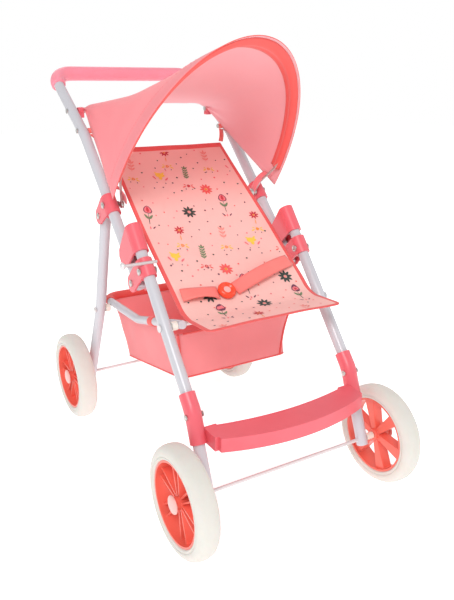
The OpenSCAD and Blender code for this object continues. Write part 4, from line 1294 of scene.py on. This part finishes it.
# ---------------------------------------------------------------------------
# Basket
# ---------------------------------------------------------------------------
def build_basket():
    """Basket of thin cloth that hangs on its tube, with bound edges and a slack floor."""
    bend = BASKET_BEND
    n_ring, n_down, n_floor = 128, 26, 14

    def rim_height(y):
        if y < bend[0]:
            t = (y - BASKET_P[0]) / (bend[0] - BASKET_P[0])
            return BASKET_P[1] - BASKET_DROP * t
        return bend[1] - BASKET_BACK_DROP * (y - bend[0]) / (BASKET_BACK[0] - bend[0])

    def outline(half, y0, y1, r, a):
        """Point at share a of a rectangle with round corners, front left corner first."""
        w, h = half - r, (y1 - y0) / 2 - r
        mid = (y0 + y1) / 2
        sides = [2 * w, math.pi / 2 * r, 2 * h, math.pi / 2 * r] * 2
        d = a * sum(sides)
        k = 0
        while d > sides[k] and k < 7:
            d -= sides[k]
            k += 1
        if k == 0:
            return -w + d, mid - h - r
        if k == 2:
            return w + r, mid - h + d
        if k == 4:
            return w - d, mid + h + r
        if k == 6:
            return -w - r, mid + h - d
        cx, cy, t0 = {1: (w, mid - h, -90), 3: (w, mid + h, 0), 5: (-w, mid + h, 90),
                      7: (-w, mid - h, 180)}[k]
        t = math.radians(t0) + d / r
        return cx + r * math.cos(t), cy + r * math.sin(t)

    rows = []
    k = settings().folds
    front = BASKET_P[0] + 26.0
    for j in range(n_down + 1):
        t = j / n_down
        ring = []
        for i in range(n_ring):
            a = i / n_ring
            xt, yt = outline(97.0, front + 0.5, BASKET_BACK[0] - 7.0, 16, a)
            xb, yb = outline(89.0, front + 2.0, FRONT_Y + 332.0, 12, a)
            drop = 4 + 15 * (1 - seg(yt, front, front + 60))
            zt = rim_height(yt) - drop
            zb = 162.5 - 38 * (yb - front) / 198
            x, y, z = xt + (xb - xt) * t, yt + (yb - yt) * t, zt + (zb - zt) * t
            belly = 3.0 * math.sin(math.pi * t)
            fold = k * ripple_at((x, y, z), 34, 5.0) * math.sin(math.pi * t)
            fold += k * 0.8 * math.sin(a * 80) * t * (1 - t) * 2
            out = np.array([x, y - front - 110, 0.0])
            out /= np.linalg.norm(out)
            ring.append(np.array([x, y, z]) + out * (fold - belly * 0.6))
        rows.append(ring)
    centre = np.mean(rows[-1], axis=0)
    for j in range(1, n_floor):
        t = j / n_floor
        ring = []
        for p in rows[n_down]:
            q = p + (centre - p) * t
            q = q + np.array([0, 0, -5.0 * math.sin(math.pi * t / 2)
                              + k * 0.8 * ripple_at(q, 40, 1.0) * math.sin(math.pi * t)])
            ring.append(q)
        rows.append(ring)
    g = np.array(rows)
    # thickness: the same rings again, moved inwards
    closed = np.concatenate([g[:, -1:], g, g[:, :1]], axis=1)
    n = grid_normals(closed)[:, 1:-1]
    mid = np.array([0, front + 120, 190.0])
    thick = 1.0
    flip = 1.0 if (n[5, 0] @ (g[5, 0] - mid)) > 0 else -1.0
    outer, inner = g + n * flip * thick / 2, g - n * flip * thick / 2
    count = len(rows) * n_ring
    points = np.concatenate([outer.reshape(-1, 3), inner.reshape(-1, 3)])
    pole_out = outer[-1].mean(0) + [0, 0, -0.3]
    pole_in = inner[-1].mean(0) + [0, 0, -0.3]
    points = np.concatenate([points, [pole_out, pole_in]])
    faces = grid_faces(len(rows), n_ring, closed=True)
    faces += grid_faces(len(rows), n_ring, closed=True, start=count, flip=True)
    base = (len(rows) - 1) * n_ring
    for i in range(n_ring):
        j = (i + 1) % n_ring
        faces.append((2 * count, base + j, base + i))
        faces.append((2 * count + 1, count + base + i, count + base + j))
        faces.append((i, j, count + j, count + i))
    uv = np.stack([points[:, 0] + points[:, 1], points[:, 2]], -1)
    body = outward(mesh_object("basket_cloth", points, faces, [MATS["basket"]], None, uv))

    # hem: a sleeve of coral facing cloth round the side tubes and the rear bar
    back = BASKET_BACK
    start = back + (bend - back) * (back[0] - BOLT_P[0] - 11) / (back[0] - bend[0])
    half = BASKET_HALF
    path = rounded([at(-half, start), at(-half, back), at(half, back), at(half, start)],
                   [24, 24], 5)
    fine = []
    for a, b in zip(path, path[1:]):
        m = max(1, int(np.linalg.norm(b - a) / 6))
        fine += [a + (b - a) * q / m for q in range(m)]
    fine.append(path[-1])
    hem = sweep("basket_hem", fine, 7.4, [MATS["band"]], sides=28, round_end=0.6)
    # bindings on the front's upright edges and along its top and foot
    pieces = [hem]
    for s in (-1, 1):
        for k, share in enumerate((0.27, 0.62)):
            d = (bend - BASKET_P) / np.linalg.norm(bend - BASKET_P)
            mid_p = BASKET_P + share * (bend - BASKET_P)
            line = [at(s * half, mid_p + d * w) for w in (-7, -3, 3, 7)]
            pieces.append(sweep("loop_%d_%d" % (s, k), line, 7.2, [MATS["band"]], sides=28,
                                round_end=0.5))

    def tape(name, line, radius=1.9):
        return sweep(name, line, radius, [MATS["binding"]], sides=10, round_end=0.5)

    for s in (-1, 1):
        best = max(range(n_ring), key=lambda i: s * g[0, i][0] - g[0, i][1])
        pieces.append(tape("edge_%d" % s, [g[j, best] + np.array([s * 0.6, -0.6, 0])
                                           for j in range(n_down + 1)]))
    lip = sorted((i for i in range(n_ring) if g[0, i][1] < front + 4), key=lambda i: g[0, i][0])
    pieces.append(tape("front_top", [g[0, i] + np.array([0, -0.3, 0.3]) for i in lip], 1.6))
    foot = [g[n_down, i] for i in range(n_ring)]
    pieces.append(tape("foot", foot + foot[:1], 1.3))
    trim = joined("basket_trim", pieces)
    anchor = (0, (front + 120) / 1000, 0.222)
    for obj in (body, trim):
        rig.ride(obj, "basket_frame")
        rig.squash(obj, "basket_fold", axis=(0, 0.15, 0.99), anchor=anchor, keep=0.3)
    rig.slot(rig.replaces(body, "basket"), "basket_cloth")
    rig.slot(trim, "coral_cloth")
    area = grid_area(np.concatenate([g, g[:, :1]], axis=1))
    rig.sheet(body, flat=(0.34, 0.43), held="hung", rests_on=["basket_tube"],
             area=min(area, 0.34 * 0.43), with_pieces=[trim])


# ---------------------------------------------------------------------------
# Stage
# ---------------------------------------------------------------------------
def build_stage():
    """White floor and backdrop, soft studio light and the camera."""
    floor = mesh_object("floor", [(-6000, -6000, -0.3), (6000, -6000, -0.3), (6000, 6000, -0.3),
                                  (-6000, 6000, -0.3)], [(0, 1, 2, 3)], [], smooth=False)
    floor.data.materials.append(new_material("white studio floor", "#FFFFFF", 0.9,
                                             Emission_Color=(1, 1, 1, 1),
                                             Emission_Strength=0.5)[0])
    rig.stage(floor)
    world = bpy.data.worlds.new("studio")
    world.use_nodes = True
    tree = world.node_tree
    rays = add_node(tree, "ShaderNodeLightPath")
    seen = add_node(tree, "ShaderNodeBackground", Color=(1, 1, 1, 1), Strength=1.0)
    mix = add_node(tree, "ShaderNodeMixShader", [(0, rays.outputs["Is Camera Ray"]),
                                                 (1, tree.nodes["Background"].outputs[0]),
                                                 (2, seen.outputs[0])])
    tree.nodes["Background"].inputs["Color"].default_value = (1.0, 0.99, 0.985, 1)
    tree.nodes["Background"].inputs["Strength"].default_value = 0.56
    tree.links.new(mix.outputs[0], tree.nodes["World Output"].inputs["Surface"])
    bpy.context.scene.world = world

    def area(name, spot, aim, size, power):
        data = bpy.data.lights.new(name, "AREA")
        data.shape = "DISK"
        data.size = size
        data.energy = power
        lamp = bpy.data.objects.new(name, data)
        lamp.location = spot
        lamp.rotation_euler = (Vector(aim) - Vector(spot)).to_track_quat("-Z", "Y").to_euler()
        bpy.context.scene.collection.objects.link(lamp)
        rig.stage(lamp)

    area("key light", (-1.3, -1.6, 2.0), (0, 0, 0.3), 1.1, 34)
    area("fill light", (1.8, -1.2, 1.3), (0, 0, 0.3), 1.8, 7)
    area("rim light", (0.4, 1.9, 1.7), (0, 0, 0.35), 1.2, 9)

    cam_data = bpy.data.cameras.new("camera")
    cam_data.sensor_width = 36
    cam_data.sensor_fit = "AUTO"
    cam_data.lens = 39.24
    cam = bpy.data.objects.new("camera", cam_data)
    here = Vector((-0.4648, -0.8221, 0.5601))
    ahead = Vector((0.4915, 0.8084, -0.3239)).normalized()
    spin = ahead.to_track_quat("-Z", "Y").to_matrix().to_4x4()
    cam.matrix_world = (Matrix.Translation(here) @ spin
                        @ Matrix.Rotation(math.radians(0.4), 4, "Z"))
    bpy.context.scene.collection.objects.link(cam)
    bpy.context.scene.camera = cam
    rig.stage(cam)
    view = bpy.context.scene.view_settings
    view.view_transform = "Standard"
    view.look = "None"


# ---------------------------------------------------------------------------
# Operators and panel
# ---------------------------------------------------------------------------
class BuildPiece:
    """Shared part of the operators: runs the class's build function."""
    bl_options = {"REGISTER", "UNDO"}

    def execute(self, context):
        if not MATS:
            make_materials()
        type(self).build()
        return {"FINISHED"}


class STROLLER_OT_tubes(BuildPiece, bpy.types.Operator):
    """Adds the white tubes of the legs, the handle and the basket"""
    bl_idname = "stroller.tubes"
    bl_label = "Tubes"
    build = staticmethod(build_tubes)


class STROLLER_OT_grip(BuildPiece, bpy.types.Operator):
    """Adds the foam grip"""
    bl_idname = "stroller.grip"
    bl_label = "Foam grip"
    build = staticmethod(build_grip)


class STROLLER_OT_plastics(BuildPiece, bpy.types.Operator):
    """Finishes the moulded parts, axles and rivets"""
    bl_idname = "stroller.plastics"
    bl_label = "Moulded parts"
    build = staticmethod(build_plastics)


class STROLLER_OT_rivets(BuildPiece, bpy.types.Operator):
    """Adds domed heads to the rivets, screws and bolts"""
    bl_idname = "stroller.rivets"
    bl_label = "Rivet heads"
    build = staticmethod(build_rivet_domes)


class STROLLER_OT_pin(BuildPiece, bpy.types.Operator):
    """Adds the side pin with its cap"""
    bl_idname = "stroller.pin"
    bl_label = "Side pin"
    build = staticmethod(build_lock_pin)


class STROLLER_OT_wheels(BuildPiece, bpy.types.Operator):
    """Adds the four wheels"""
    bl_idname = "stroller.wheels"
    bl_label = "Wheels"
    build = staticmethod(build_wheels)


class STROLLER_OT_seat(BuildPiece, bpy.types.Operator):
    """Adds the printed seat sling"""
    bl_idname = "stroller.seat"
    bl_label = "Seat"
    build = staticmethod(build_seat)


class STROLLER_OT_belt(BuildPiece, bpy.types.Operator):
    """Adds the lap belt and its buckle"""
    bl_idname = "stroller.belt"
    bl_label = "Lap belt"
    build = staticmethod(build_belt)


class STROLLER_OT_ribbons(BuildPiece, bpy.types.Operator):
    """Adds the seat's ribbons and the hood's tabs"""
    bl_idname = "stroller.ribbons"
    bl_label = "Ribbons and tabs"
    build = staticmethod(build_ribbons)


class STROLLER_OT_hood(BuildPiece, bpy.types.Operator):
    """Adds the hood"""
    bl_idname = "stroller.hood"
    bl_label = "Hood"
    build = staticmethod(build_hood)


class STROLLER_OT_basket(BuildPiece, bpy.types.Operator):
    """Adds the hanging basket"""
    bl_idname = "stroller.basket"
    bl_label = "Basket"
    build = staticmethod(build_basket)


class STROLLER_OT_stage(BuildPiece, bpy.types.Operator):
    """Adds the floor, the light and the camera"""
    bl_idname = "stroller.stage"
    bl_label = "Stage"
    build = staticmethod(build_stage)


PIECES = (STROLLER_OT_tubes, STROLLER_OT_grip, STROLLER_OT_plastics, STROLLER_OT_rivets,
          STROLLER_OT_pin, STROLLER_OT_wheels, STROLLER_OT_seat, STROLLER_OT_belt,
          STROLLER_OT_ribbons, STROLLER_OT_hood, STROLLER_OT_basket, STROLLER_OT_stage)


class STROLLER_PT_panel(bpy.types.Panel):
    """Settings and pieces of the stroller"""
    bl_idname = "STROLLER_PT_panel"
    bl_label = "Doll stroller"
    bl_space_type = "VIEW_3D"
    bl_region_type = "UI"
    bl_category = "Stroller"

    def draw(self, context):
        column = self.layout.column()
        for name in StrollerSettings.__annotations__:
            column.prop(context.scene.stroller, name)
        for piece in PIECES:
            column.operator(piece.bl_idname)


CLASSES = (StrollerSettings, *PIECES, STROLLER_PT_panel)


def register():
    """Adds the add-on's classes and the scene's settings."""
    for c in CLASSES:
        bpy.utils.register_class(c)
    bpy.types.Scene.stroller = bpy.props.PointerProperty(type=StrollerSettings)


def unregister():
    """Takes them away again."""
    del bpy.types.Scene.stroller
    for c in reversed(CLASSES):
        bpy.utils.unregister_class(c)


def main():
    """Builds every piece with its operator and writes the sizes before and after."""
    register()
    for piece in PIECES:
        group, name = piece.bl_idname.split(".")
        getattr(getattr(bpy.ops, group), name)()
    plain = [[list(map(float, corner)) for corner in size] for size in
             (SIZE_BEFORE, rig.bounds())]
    with open("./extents.json", "w") as out:
        json.dump({"cad": plain[0], "looks": plain[1]}, out)


if __name__ == "__main__":
    main()
